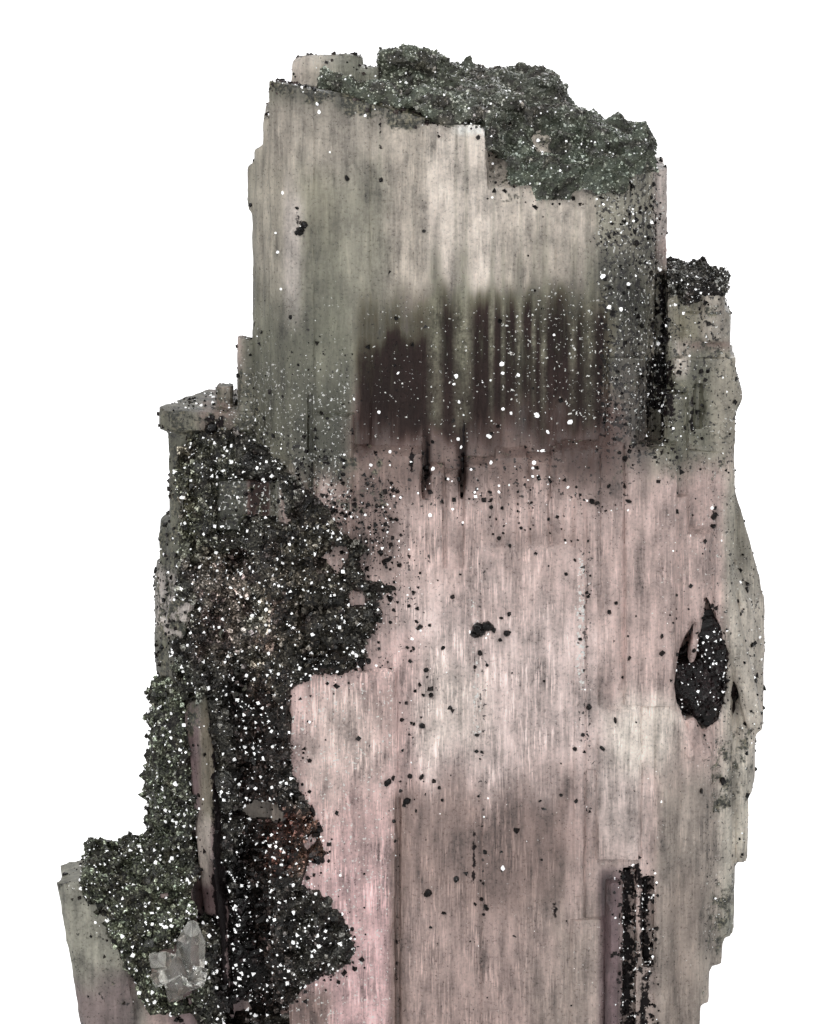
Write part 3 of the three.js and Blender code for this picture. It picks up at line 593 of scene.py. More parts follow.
# Colours inside the crystal: name, x range, z range, softness across and up, share.
# Millimetres, seen from the front.
TINTS = [
    ("moss", (-10.6, -0.7), (38.4, 63.2), (0.9, 1), 1),
    ("tan", (-9, -4.6), (52, 60.5), (0.9, 2), 0.45),
    ("warm_grey", (-8.6, -0.4), (57.4, 63), (0.7, 1.4), 0.85),
    ("dull_cream", (-9.8, -7.2), (49, 62), (0.5, 2), 0.5),
    ("pearl", (-7.9, -6.75), (46.8, 56), (0.22, 2.2), 0.7),
    ("deep_moss", (-10.4, -3.3), (37.6, 49.5), (0.8, 3), 0.9),
    ("deep_moss", (-6.6, -4.4), (47.5, 53.5), (0.7, 2), 0.5),
    # Partly painted light: the cream tints below lighten the upper main face as if lit through the
    # crystal, and partly give its own paler colour
    ("dull_cream", (-1.4, 11.8), (49, 61.5), (0.8, 1.2), 1),
    ("cream", (0.9, 5.4), (50, 60), (0.6, 1.6), 0.95),
    ("cream", (5.2, 10.4), (53, 59), (1.4, 1.2), 0.45),
    ("moss", (11.3, 15), (46, 61), (0.5, 2), 1),
    ("dark_moss", (10.6, 15.2), (38.6, 52), (0.7, 2.6), 0.9),
    ("pearl", (15, 16.2), (52.6, 59.2), (0.3, 0.8), 0.8),
    ("moss", (14.8, 20.8), (38.6, 50.6), (0.5, 1.2), 0.9),
    ("deep_moss", (15.4, 18.6), (39, 46), (0.6, 1.4), 0.85),
    ("tan", (16, 17.7), (46.4, 50.4), (0.12, 0.3), 0.85),
    ("warm_grey", (17.9, 19.5), (46.5, 49.9), (0.15, 0.3), 0.8),
    ("cream", (16.2, 17.1), (44.4, 46.3), (0.25, 0.4), 0.8),
    ("umber", (16.9, 19.9), (45.9, 46.4), (0.3, 0.2), 0.8),
    ("umber", (-3.6, 12.6), (37.6, 43), (1, 1.6), 0.95),
    ("umber", (3.4, 11.4), (33.9, 34.9), (1.4, 0.5), 0.4),
    ("pale_lilac", (-0.9, 11.5), (18.6, 31), (1.2, 3), 0.9),
    ("rose", (-9, 0.2), (16, 28), (2, 2.5), 0.8),
    ("rose", (-9, -0.9), (0, 18.5), (0.35, 1.5), 0.95),
    ("deep_rose", (-9, -0.9), (-2, 14), (0.35, 4), 0.85),
    ("umber", (-0.8, 9.6), (11, 18.6), (0.5, 1.8), 0.75),
    # Painted shadow: a brown-grey band beside the groove at x = -1
    ("umber", (-1.35, -0.3), (-1, 18.4), (0.3, 0.8), 0.95),
    ("umber", (-0.6, 11), (-1, 12), (0.5, 2.5), 0.4),
    ("grey", (8, 22), (-1, 12), (2, 3), 0.5),
    ("pearl", (11.2, 14.6), (13.8, 24.8), (1, 2.2), 0.5),
    ("milk", (12.4, 16.6), (20, 24.2), (1.3, 1.4), 0.75),
    ("milk", (-6.4, -2.2), (19, 25), (1.6, 2), 0.3),
    ("milk", (0.4, 4.6), (21, 27), (1.8, 2), 0.35),
    ("mauve", (11.6, 13.15), (-1, 13.5), (0.25, 0.4), 1),
    ("smoke", (11.9, 12.3), (-1, 13.2), (0.15, 0.4), 0.45),
    ("grey", (15.2, 22), (-1, 20), (0.5, 2), 0.8),
    ("sage", (19.4, 23), (8, 38.5), (0.5, 1.5), 0.8),
    ("cream", (19.2, 23), (12, 31), (0.6, 2), 0.45),
    ("deep_moss", (-17, -10), (24, 44), (0.6, 1.5), 0.9),
    ("umber", (-5.2, -0.8), (32.8, 38.6), (0.9, 1), 0.7),
    ("mauve", (-15.2, -10.4), (-1, 27), (0.4, 0.8), 0.85),
    ("tan", (-13.1, -11.3), (16.4, 27), (0.15, 0.6), 0.75),
    ("umber", (-13.1, -10.9), (40.5, 42.4), (0.4, 0.3), 0.7),
    ("dark_moss", (-6.9, -3.9), (37.6, 44.4), (0.5, 1.2), 0.6),
    ("dark_moss", (-6.3, -4.1), (38.2, 41.4), (0.2, 0.3), 0.4),
    ("dark_moss", (-10.4, -6.6), (40.4, 45.4), (0.8, 1.6), 0.25),
    ("brown", (-2.7, -0.5), (21.6, 25.2), (0.9, 1.2), 0.4),
    ("brown", (-3.6, 12.6), (37.2, 39.6), (1, 0.9), 0.35),
    ("brown", (-4.6, -1), (32.4, 38.4), (0.8, 1), 0.45),
    ("brown", (3.8, 11), (12.8, 19), (1.2, 1.6), 0.3),
    ("umber", (15.4, 18), (-1, 13), (0.6, 1.4), 0.35),
    ("cream", (-13.5, -12.5), (12.6, 17), (0.12, 0.5), 0.8),
    ("grey", (-11.2, -7.6), (15.2, 18.8), (0.3, 0.4), 0.9),
    ("umber", (-9.8, -5), (2, 6), (0.5, 0.5), 0.9),
    ("deep_moss", (-9.4, -5), (61.6, 64.5), (0.6, 0.6), 0.7),
    ("deep_moss", (-5, -1), (60.9, 64.5), (0.8, 0.6), 0.8),
    ("deep_moss", (-1, 2), (60.1, 64.5), (0.8, 0.6), 0.8),
    # Painted highlights: thin bright lines along the top edges
    ("painted_highlight", (2.6, 5.3), (59.5, 60.1), (0.4, 0.25), 0.8),
    ("painted_highlight", (-4.2, -0.9), (63, 63.3), (0.4, 0.15), 0.7),
    ("deep_moss", (-16.9, -9.4), (24, 41), (0.5, 1.2), 0.8),
    ("dark_moss", (-12.6, -8.1), (33.4, 38.6), (0.15, 0.2), 0.85),
    ("smoke", (-10.1, -8.8), (35.9, 38.1), (0.12, 0.2), 0.75),
    ("sage", (-8.72, -8.3), (35.2, 38.3), (0.06, 0.15), 0.8),
    ("pearl", (-16, -13.3), (27.4, 31.4), (0.2, 0.3), 0.85),
    ("sage", (-24, -16.6), (-1, 16), (0.5, 1.2), 0.9),
    ("mauve", (-21.6, -17), (-1, 7), (0.8, 1), 0.8),
]
# Where the crystal is darkened towards near black
SMOKE_TOP = (47.4, 51.8)
SMOKE = [
    ((0.9, 12.2), (40.8, 60), (0.7, 2.4), 1), ((-3.4, 1.6), (40.8, 47.6), (0.45, 2.2), 1),
    ((-3.4, 1.6), (43.6, 50.8), (0.45, 1.6), 0.6), ((0.6, 1.2), (37.6, 42), (0.2, 0.8), 0.9),
    ((2.8, 3.5), (37.8, 43), (0.2, 0.8), 0.9), ((9.6, 12.8), (38.6, 43), (1, 1.4), 0.5),
    ((-10.2, -8.8), (35.8, 38.1), (0.15, 0.2), 0.75),
]
# Clearer lines in the smoke, and grey lines in the pale part above it: middle, half width, strength
CLEARER = [
    (1.45, 0.62, 0.75), (3.15, 0.75, 0.85), (4.9, 0.24, 0.6), (5.62, 0.2, 0.6),
    (6.6, 0.34, 0.6), (7.5, 0.2, 0.5), (8.1, 0.28, 0.6), (9.9, 0.34, 0.45), (10.9, 0.5, 0.6),
]
LINES = [
    (-2, 0.14, 0.5), (2.72, 0.16, 0.4), (3.33, 0.2, 0.5), (5.03, 0.16, 0.5), (6.7, 0.14, 0.4),
    (7.72, 0.16, 0.5), (8.33, 0.22, 0.5), (10.09, 0.16, 0.4), (10.8, 0.2, 0.4), (11.4, 0.2, 0.5),
]
# Where dark marks (painted shade in grooves and crevices, and dark smudges), specks, painted glints,
# green mottling, grey lines, clearer stripes and fine threads lie: x range, z range, softness, amount
MARKS = {
    "dark": [
        ((13, 13.9), (-1, 13.8), (0.4, 0.6), 0.74), ((14.2, 15), (7, 13.6), (0.35, 0.6), 0.72),
        ((14.1, 14.8), (-1, 7), (0.35, 0.8), 0.7), ((13.8, 14.4), (12.6, 14.2), (0.3, 0.3), 0.8),
        # Painted shade: the first mark below darkens the crevice beside the shoulder
        ((15.1, 15.8), (42.4, 50.5), (0.35, 0.8), 0.66), ((14.4, 16.4), (41.4, 45.4), (0.4, 0.8), 0.62),
        ((8.6, 9.2), (10.6, 11.9), (0.25, 0.4), 0.66), ((-12.8, -11.2), (40.8, 42), (0.5, 0.4), 0.62),
        # Painted shade: the first mark below darkens the groove at x = -1
        ((-1, -0.6), (0, 17.6), (0.25, 1), 0.4), ((17.2, 17.5), (40.6, 43), (0.14, 0.4), 0.75),
        ((0.8, 1.02), (37.9, 40.4), (0.16, 0.7), 0.82), ((3.08, 3.28), (38.4, 42.2), (0.16, 0.8), 0.82),
        ((-0.2, 0.1), (38.6, 40.2), (0.15, 0.5), 0.85), ((-2.05, -1.75), (57.5, 61), (0.15, 0.9), 0.55),
        ((-7.2, -6.7), (53.6, 54.8), (0.25, 0.4), 0.75), ((-10, -8.3), (33.6, 35.7), (0.15, 0.2), 0.95),
        # Painted shadow: the first mark below is a near-black band beside the blade
        ((-12.4, -11.4), (5, 24), (0.3, 1.5), 0.8), ((10.55, 10.9), (12, 24), (0.15, 2), 0.3),
        ((3.7, 4), (12.6, 16.6), (0.15, 1), 0.66), ((19.2, 20), (18.4, 21), (0.6, 0.8), 0.42),
        ((18.4, 18.8), (8, 16), (0.3, 2), 0.45),
    ],
    "speck": [
        ((11.2, 15.4), (38.8, 61), (0.6, 1.6), 1.2), ((-5, 13), (37, 40.4), (0.8, 0.7), 0.75),
        ((-16, -9), (36, 45), (0.8, 1), 0.7), ((14.8, 21), (37.8, 51), (0.5, 1), 0.85),
        ((-5, 1.6), (27.6, 38), (1, 1.4), 0.75), ((-9, 20), (0, 38), (2, 1), 0.12),
        ((-9, 14), (36, 40.5), (1, 1), 0.8), ((10.2, 11), (22, 34), (0.12, 1), 1),
        ((3.9, 4.7), (10, 33), (0.2, 1), 0.7), ((10.4, 11.2), (14, 33.5), (0.2, 1), 0.8),
        ((-10.4, 0), (38, 50), (1, 2), 0.5), ((-14, -4), (33, 41.5), (1, 1.5), 1),
        ((15, 16.2), (52.6, 59.2), (0.1, 0.6), 0.8), ((18, 23), (8, 38), (0.5, 1), 0.7),
        ((-24, -16.6), (-1, 16), (0.5, 1.2), 0.5),
    ],
    "fleck": [
        ((-3.4, 12.2), (40, 49.5), (0.6, 1), 0.55), ((5.4, 12.8), (41, 50.5), (0.6, 1.5), 0.72),
        ((-12, -3.4), (33, 46), (0.8, 2), 0.85), ((13.4, 16), (41, 57), (0.5, 1), 0.85),
        ((11.2, 15.4), (40, 61), (0.6, 1.6), 0.8), ((-10.4, -3.4), (38, 50), (0.6, 1.6), 0.5),
        ((-8, -1), (0, 27), (0.6, 1), 0.75), ((10.1, 10.8), (25, 33.6), (0.12, 1), 1.3),
        ((3.6, 4.3), (22, 32), (0.15, 1.5), 1), ((14.8, 21), (30, 51), (0.6, 1.6), 0.6),
        ((-9, 20), (0, 38), (2, 1), 0.35), ((18, 23), (8, 38), (0.5, 1), 0.6),
    ],
    "moss": [
        ((-9.4, -6.6), (61.9, 66), (0.5, 0.5), 1.15), ((-6.6, -4.4), (61.2, 66), (0.8, 0.5), 1.25),
        ((-4.4, -1.6), (60.5, 66), (0.8, 0.5), 1.35), ((-1.6, 1.8), (59.8, 66), (0.8, 0.5), 1.35),
        ((1.6, 6.4), (59.7, 66), (0.7, 0.4), 1.2), ((5.4, 15.2), (58, 66), (0.9, 0.8), 0.8),
        ((-4.2, -1.6), (56.2, 58.4), (0.8, 0.9), 0.5), ((-10.4, -8), (48, 62), (0.7, 2), 0.3),
        ((-17, -12.9), (22, 45), (0.5, 1.5), 1), ((-13, -9.4), (38.9, 45), (0.8, 0.5), 0.95),
        ((-13, -9.4), (22, 33), (0.8, 0.6), 0.95), ((4.6, 12), (54.8, 57.6), (0.8, 0.9), 0.75),
        ((-9, -1.4), (35.6, 40.4), (0.8, 0.9), 0.8), ((12, 15.4), (38, 48), (0.8, 1.6), 0.7),
        ((15, 21), (37.5, 51), (0.6, 1.2), 0.7), ((17, 23), (4, 38.5), (1.2, 1.5), 0.45),
        ((18.4, 22), (16.8, 22.4), (0.8, 1.2), 0.9), ((18, 21.4), (7.6, 13), (0.8, 1.2), 0.9),
        ((-10.6, -4), (37.6, 44), (1, 2), 0.62), ((-12.4, -8.6), (34.8, 38.6), (0.3, 0.3), 0.8),
        ((-24, -14), (-1, 18), (0.8, 1.2), 0.55),
    ],
    "lines": [((-2.4, 12), (48.5, 60.5), (0.5, 1.2), 1)],
    "stripes": [
        ((-3.4, 12.2), (45, 52.5), (0.5, 1.6), 1), ((-3.4, 12.2), (41.6, 46), (0.5, 1.4), 0.45),
    ],
    "threads": [
        ((-9, 8.8), (-2, 39), (1, 1.5), 0.9), ((8.8, 30), (-2, 39), (1, 1.5), 0.5),
        ((-30, -9), (-2, 39), (1, 1.5), 0.2), ((-30, 30), (38, 70), (1, 1.5), 0.3),
    ],
}
# How many loose grains there are to a square millimetre, in the same way
SPRINKLE = [
    ((-6, 1.2), (28, 38.4), (1.4, 1.4), 4), ((-4, 13), (37.2, 40.2), (0.8, 0.8), 3),
    ((11.6, 15.4), (39, 59), (0.6, 1), 12), ((14.8, 21), (37.8, 51), (0.5, 1), 4),
    ((-10.6, -3.2), (38, 48), (0.6, 1.6), 2.4), ((-2, 1.9), (16, 28.6), (0.9, 1.6), 3),
    ((-3.2, 12), (40, 49), (0.6, 1.6), 0.5), ((-17, -9.4), (36, 45), (1, 1.5), 4),
    ((3.9, 4.7), (6, 33), (0.2, 1), 1.6), ((10.4, 11.2), (14, 33.5), (0.2, 1), 3),
    ((17, 23), (6, 38.5), (1.2, 1.5), 0.5), ((-8, 18), (0, 38), (1, 1), 0.25),
    ((-24, 23), (1, 64), (1, 1), 0.08), ((-4.6, 13), (35.8, 38.6), (0.8, 0.8), 7),
    ((-9.4, -4), (61.6, 66), (0.5, 0.4), 9), ((-4, 6), (60.4, 66), (0.5, 0.4), 9),
    ((-15.5, -6), (14, 34.5), (0.8, 1), 3), ((-5.6, -1), (32.6, 38.2), (0.8, 0.9), 34),
    ((-4.6, 0.6), (26, 34), (0.5, 1), 7), ((-11, -3.6), (36.4, 41), (0.8, 1), 13),
    ((-17, -14.4), (17, 38), (0.4, 1), 12), ((-13, -8), (33.4, 38.8), (0.3, 0.3), 7),
    ((12.8, 14.1), (0.4, 13.8), (0.25, 0.4), 30), ((14, 15.2), (0.4, 13.6), (0.25, 0.4), 24),
    ((15.1, 16.2), (39.6, 48), (0.3, 1), 22), ((4.8, 11.6), (55.4, 57), (0.6, 0.5), 10),
    ((16, 23), (29, 40), (0.6, 1), 2), ((20.4, 23), (6, 34), (0.5, 1), 5),
]


def slice_crystal(piece):
    """Gives the faces enough points for their relief: most on the main face."""

    def all_faces(middles, normals):
        return np.ones(len(middles), bool)

    def main_face(middles, normals):
        x, y, z = middles.T
        return (y < MAIN_DEPTH) & (z > MAIN_FOOT) & (x > MAIN_LEFT) & (x < MAIN_RIGHT)

    def front(middles, normals):
        return (normals[:, 1] < -FACING) | (normals[:, 2] > LEVEL)

    def back(middles, normals):
        return normals[:, 1] > FACING

    def sides(middles, normals):
        return (np.abs(normals[:, 0]) > 0.6) | (normals[:, 2] > LEVEL)

    # The axis, the distance between slices in millimetres, and the faces that are cut
    slices = (
        (0, 0.32, front),
        (0, 0.8, back),
        (1, 0.7, sides),
        (2, 0.56, all_faces),
        (2, 0.28, main_face),
    )
    for axis, step, wanted in slices:
        slice_piece(piece, axis, step, wanted)
    triangulate(piece)


def distance_to_crusts(places):
    """How far each place is from the nearest CAD crust, in millimetres."""
    depsgraph = bpy.context.evaluated_depsgraph_get()
    trees = [BVHTree.FromObject(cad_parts[node], depsgraph) for node in CRUSTS]
    distances = np.full(len(places), RIM_REACH)
    for i, place in enumerate(places):
        spot = Vector(place) * MM
        found = [tree.find_nearest(spot, RIM_REACH * MM)[3] for tree in trees]
        distances[i] = min((d / MM for d in found if d is not None), default=RIM_REACH)
    return distances


def strongest(places, drift, areas):
    """The strongest of some soft areas at each place. Drift bends the softest areas most."""
    total = np.zeros(len(places))
    for x, z, soft, amount in areas:
        total = np.maximum(total, inside(bent(places, drift, soft), x, z, soft) * amount)
    return total


def bent(places, drift, soft):
    return places + drift[:, None] * (0.6 * soft[0], 0, 0.8 * soft[1])


def paint_crystal(mesh):
    """Stores the colour and the marks of each point."""
    places = points_of(mesh)
    normals = normals_of(mesh)
    ragged = noise_at(places, (0.5, 0.5, 40.0), seed=3.1, octaves=2)
    drift = noise_at(places, (2.2, 2.2, 4.0), seed=7.7, octaves=2)
    tint = np.tile(COLOURS["lilac"], (len(places), 1))
    for colour, x, z, soft, share in TINTS:
        mask = inside(bent(places, drift, soft), x, z, soft, ragged * min(0.4, soft[1] * 0.4)) * share
        tint += (np.array(COLOURS[colour]) - tint) * mask[:, None]
    smoke = np.zeros(len(places))
    for x, z, soft, share in SMOKE:
        smoke = np.maximum(smoke, inside(bent(places, drift, soft), x, z, soft, ragged * 0.5) * share)
    smoke *= 1 - smoothstep(*SMOKE_TOP, places[:, 2] + ragged * 0.5 + drift * 0.5)
    front = smoothstep(2.0, -4.0, places[:, 1])
    top = smoothstep(0.6, 0.85, normals[:, 2]) * smoothstep(36.0, 40.0, places[:, 2])
    rim = np.exp(-((distance_to_crusts(places) / RIM_WIDTH) ** 2))
    behind = (1 - front) * 0.5
    rear = smoothstep(-6.6, -5.4, places[:, 1]) * smoothstep(61.2, 61.8, places[:, 2])
    left = smoothstep(-3.6, -7.4, places[:, 0])[:, None]
    tone = np.array(COLOURS["sage"]) * (1 - left) + np.array(COLOURS["cream"]) * left
    tint += (tone - tint) * (rear * 0.85)[:, None]
    store(mesh, "tint", tint)
    store(mesh, "smoke", smoke * (0.35 + 0.65 * front))
    for name, areas in MARKS.items():
        amount = strongest(places, drift, areas)
        if name == "dark":
            amount *= front
        if name == "moss":
            amount = np.maximum(amount * (1 - 0.55 * rear), np.maximum(top * 0.9, behind))
        store(mesh, name, amount)
    height = smoothstep(54.0, 58.0, places[:, 2])
    sprinkled = strongest(places, drift, SPRINKLE) * (0.3 + 0.7 * front)
    cover = np.maximum.reduce([sprinkled, top * (6 + 9 * height), rim * 13.0])
    clumps = noise_at(places, (0.9, 0.9, 0.9), seed=21.7, octaves=2)
    above_cut = smoothstep(0.2, 0.8, places[:, 2])
    store(mesh, "cover", cover * smoothstep(-0.45, 0.75, clumps) * 2 * above_cut)


def standing_out(mesh):
    """How far each point stands out from its neighbours, from 0 to about 1."""
    places = points_of(mesh)
    normals = normals_of(mesh)
    first, second = read(mesh.edges, "vertices", 2, np.int32).T
    total = np.zeros(len(places))
    number = np.zeros(len(places))
    for here, there in ((first, second), (second, first)):
        step = places[there] - places[here]
        step /= np.maximum(np.linalg.norm(step, axis=1), 1e-6)[:, None]
        np.add.at(total, here, -np.einsum("ij,ij->i", step, normals[here]))
        np.add.at(number, here, 1)
    # Scaled so that a square edge comes near 1
    return np.clip(total / np.maximum(number, 1) * 2.4, 0, 1)


def roughen_crystal(mesh, settings):
    """Gives the faces upright striations and small chips, and wears the edges."""
    places = points_of(mesh)
    normals = normals_of(mesh)
    edges = standing_out(mesh)
    striations = noise_at(places, (0.45, 0.45, 14.0), seed=1.3, octaves=2)
    chips = noise_at(places, (0.9, 0.9, 1.6), seed=5.9, octaves=2)
    nicks = np.minimum(noise_at(places, (0.6, 0.6, 0.8), seed=9.2, octaves=2) + 0.1, 0)
    height = striations * settings.striation_depth + chips * settings.chip_depth * 0.5
    height += nicks * settings.chip_depth * (1.0 + 2.6 * edges)
    height -= edges * settings.chip_depth * 0.5
    above_cut = smoothstep(0.0, 0.6, places[:, 2])
    move_points(mesh, places + normals * (height * above_cut / MM)[:, None])


def round_off(piece):
    """Rounds steps and edges: hardly on the main face, and most on the flanks."""
    places = points_of(piece.data)
    x, y, z = places.T
    main = smoothstep(-7.0, -9.0, y) * smoothstep(-10.8, -9.8, x) * smoothstep(16.8, 15.8, x)
    amount = (1 - 0.8 * main) * smoothstep(0.3, 1.5, z)
    group = piece.vertex_groups.new(name="worn")
    for i, share in enumerate(amount):
        group.add([i], share, "REPLACE")
    modify(piece, "Worn", "SMOOTH", vertex_group=group.name, factor=0.5, iterations=4)


class ANHYDRITE_OT_crystal(bpy.types.Operator):
    """Makes the striated, cloudy anhydrite"""

    bl_idname = "anhydrite.crystal"
    bl_label = "Crystal"

    def execute(self, context):
        settings = context.scene.anhydrite_crystal
        piece = copy_of("crystal", "anhydrite_crystal")
        slice_crystal(piece)
        round_off(piece)
        paint_crystal(piece.data)
        roughen_crystal(piece.data, settings)
        bpy.ops.object.shade_smooth_by_angle(angle=SHARP_ANGLE)
        finish_piece(piece, anhydrite_material(settings), "anhydrite", "crystal")
        return {"FINISHED"}


# Grains


def grain_shapes(kinds):
    """Angular grains to scatter, each a primitive with its corners moved."""
    shapes = []
    for number, (kind, amount) in enumerate(kinds):
        if kind == "ball":
            bpy.ops.mesh.primitive_ico_sphere_add(subdivisions=1, radius=0.5)
        elif kind == "cube":
            bpy.ops.mesh.primitive_cube_add(size=0.75)
        else:
            sides = 4 if kind == "pyramid" else 3
            bpy.ops.mesh.primitive_cone_add(vertices=sides, radius1=0.62, depth=0.9)
        grain = bpy.context.object
        grain.name = f"grain_{number}"
        edit((bpy.ops.transform.vertex_random, {"offset": amount * 0.5, "seed": number + 3}))
        shapes.append(grain)
    return shapes


def scatter(piece, shapes, layers, seed, keep_base):
    """Puts grains on a piece where its cover attribute says, by a Geometry Nodes tree.

    A layer is its grains to a square metre, their sizes, their shades and how they clump.
    """
    tree = bpy.data.node_groups.new(piece.name + "_scatter", "GeometryNodeTree")
    for side in ("INPUT", "OUTPUT"):
        tree.interface.new_socket("Mesh", in_out=side, socket_type="NodeSocketGeometry")
    graph = Graph(tree)
    base = graph.add("NodeGroupInput").outputs[0]
    cover = graph.add("GeometryNodeInputNamedAttribute", {"Name": "cover"}, data_type="FLOAT")
    place = graph.stretch(graph.add("GeometryNodeInputPosition").outputs[0], (1 / MM,) * 3)
    choices = graph.add("GeometryNodeGeometryToInstance")
    for shape in shapes:
        info = graph.add("GeometryNodeObjectInfo", {"Object": shape, "As Instance": True})
        tree.links.new(info.outputs["Geometry"], choices.inputs["Geometry"])
    whole = graph.add("GeometryNodeJoinGeometry")
    for density, sizes, shades, clumping in layers:
        seed += 10
        clumps = graph.window(graph.noise(place, scale=0.9), 0.42, 0.62, *clumping)
        wanted = graph.times(graph.times(cover.outputs[0], density), clumps)
        spread = {"Mesh": base, "Density": wanted, "Seed": seed}
        # Small grains are far more common than large ones
        skewed = graph.math("POWER", graph.random("FLOAT", {"Seed": seed + 2}, 1), 3.0)
        size = graph.math("MULTIPLY_ADD", skewed, sizes[1] - sizes[0], sizes[0])
        instances = {
            "Points": graph.add("GeometryNodeDistributePointsOnFaces", spread).outputs["Points"],
            "Instance": choices.outputs[0],
            "Pick Instance": True,
            "Instance Index": graph.random("INT", {4: 0, 5: len(shapes) - 1}, 2),
            "Rotation": graph.random("FLOAT_VECTOR", {1: (math.tau,) * 3, "Seed": seed + 1}, 0),
            "Scale": size,
        }
        placed = graph.add("GeometryNodeInstanceOnPoints", instances).outputs[0]
        chance = graph.random("FLOAT", {"Seed": seed + 3}, 1)
        shade = graph.math("MULTIPLY_ADD", chance, shades[1] - shades[0], shades[0])
        stored = {"Geometry": placed, "Name": "shade", "Value": shade}
        kept = graph.add("GeometryNodeStoreNamedAttribute", stored, data_type="FLOAT", domain="INSTANCE")
        real = graph.add("GeometryNodeRealizeInstances", {"Geometry": kept.outputs[0]})
        tree.links.new(real.outputs[0], whole.inputs[0])
    if keep_base:
        tree.links.new(base, whole.inputs[0])
    graph.add("NodeGroupOutput", {0: whole.outputs[0]})
    modify(piece, tree.name, "NODES", node_group=tree)


def crystal_tree():
    """For finding the crystal's nearest face."""
    piece = bpy.data.objects["anhydrite_crystal"]
    return BVHTree.FromObject(piece, bpy.context.evaluated_depsgraph_get())


# Where the crystal shows through the crusts: x, z, and half the width and height
GAPS = [
    (-3.1, 36, (1.5, 1.7)),
    (-12.6, 22.4, (0.9, 2.4)),
    (-7.2, 23.4, (0.7, 1.2)),
    (-9.8, 17, (1.4, 0.7)),
    (-7.6, 4.2, (1.9, 1)),
    (-2.3, 33, (0.8, 1)),
    (-4.7, 33.4, (0.6, 0.8)),
    (-1.5, 30.4, (0.5, 0.8)),
    (-3.3, 30.9, (0.4, 0.6)),
    (-2.2, 27.6, (0.7, 0.5)),
]
# Where the crusts are lighter or darker than elsewhere: x range, z range, softness, and shares of red,
# green and blue
CRUST_TONES = [
    ((-24, -13.4), (-1, 26), (0.8, 1), (2.1, 2.4, 2)),
    ((-24, -13.4), (28, 46), (0.8, 1), (1.7, 1.74, 1.66)),
    ((-12.6, -6.6), (27.6, 33.4), (1.2, 1.2), (1.5, 1.42, 1.42)),
    ((-15.8, -13.6), (35, 37.4), (0.5, 0.6), (1.5, 1.45, 1.45)),
    ((-17, -10.6), (33, 41), (0.8, 1), (1.3, 1.35, 1.2)),
    ((-13.2, -9.6), (26.4, 33.8), (0.7, 0.9), (2.4, 2.2, 2.2)),
    ((-10, -7.6), (24.4, 31.2), (0.4, 0.8), (2.9, 2.7, 2.5)),
    ((-9.6, -4), (31.6, 36.6), (1, 1.2), (1.4, 1.4, 1.35)),
    ((-7.6, -3.2), (26.6, 36), (0.8, 1), (0.8, 0.75, 0.7)),
    # Painted shadow: a near-black band of crust beside the blade
    ((-11.7, -10.9), (2, 25), (0.2, 0.8), (0.15, 0.12, 0.14)),
    ((-11.2, -7.4), (4, 25), (0.5, 1), (0.5, 0.38, 0.38)),
    ((-8.6, -5.4), (13.6, 17.8), (0.4, 0.5), (1.8, 1.1, 0.95)),
    ((-6.8, -2.9), (25.6, 27.4), (0.3, 0.3), (0.3, 0.28, 0.25)),
    ((5, 16), (54, 59.5), (1, 1), (0.9, 0.97, 0.92)),
    ((-8, 4), (60, 66), (1.5, 1), (1.1, 1.15, 1.1)),
]


def settle_on_crystal(mesh, crystal, lumps, seed):
    """Draws a crust down onto the crystal, and under it at its ragged rim and in its gaps."""
    places = points_of(mesh)
    near = np.empty_like(places)
    for i, place in enumerate(places):
        near[i] = np.array(crystal.find_nearest(Vector(place) * MM)[0]) / MM
    away = places - near
    height = np.linalg.norm(away, axis=1)
    outward = away / np.maximum(height, 1e-6)[:, None]
    rough = noise_at(places, (0.8, 0.8, 0.8), seed=seed, octaves=2)
    ragged = noise_at(places, (1.7, 1.7, 2.2), seed=seed + 4.5, octaves=3)
    # The rim slopes from its full height down to under the crystal's face
    wanted = np.where(height < RIM_HEIGHT, (height - 0.45) * 1.55 - 0.15, height - 0.35)
    thin = 1 - smoothstep(RIM_HEIGHT, 1.5, height)
    wanted += (ragged * 1.1 + rough * 0.4) * thin + rough * lumps * np.clip(wanted, 0, 1)
    for x, z, size in GAPS:
        off = np.hypot((places[:, 0] - x) / size[0], (places[:, 2] - z) / size[1]) + ragged * 0.35
        wanted -= (1 - smoothstep(0.7, 1.15, off)) * (places[:, 1] < 0) * 2.2
    move_points(mesh, near + outward * wanted[:, None])
    store(mesh, "cover", np.clip(wanted * 5 + 0.8, 0, 1))
    store(mesh, "shade", np.clip(0.2 + 0.15 * rough, 0, 0.5))
    store(mesh, "tone", tones_at(near))


def tones_at(places):
    """The crusts' lightness at each place, for red, green and blue."""
    drift = noise_at(places, (1.6, 1.6, 1.6), seed=17.1, octaves=2)
    tones = np.ones((len(places), 3))
    for x, z, soft, tone in CRUST_TONES:
        mask = inside(bent(places, drift, soft), x, z, soft)
        tones *= 1 + (np.array(tone) - 1) * mask[:, None]
    return np.clip(tones, 0, 4)


# How each crust is made: material slot, colour, width of its grains as a share of an average grain's,
# grains and glints to a square millimetre, height of its lumps, and seed
CRUSTS = {
    "left_crust": ("dark_crust", "dark", 1.0, 13, 3.4, 0.6, 11),
    "top_crust": ("green_crust", "green", 0.64, 38, 2.0, 0.2, 12),
    "shoulder_crust": ("dark_crust", "dark", 0.7, 60, 6.0, 0.25, 13),
    "pocket_crust": ("black_crust", "black", 0.9, 30, 5.0, 0.6, 14),
}


def discard(pieces):
    for piece in pieces:
        bpy.data.objects.remove(piece)


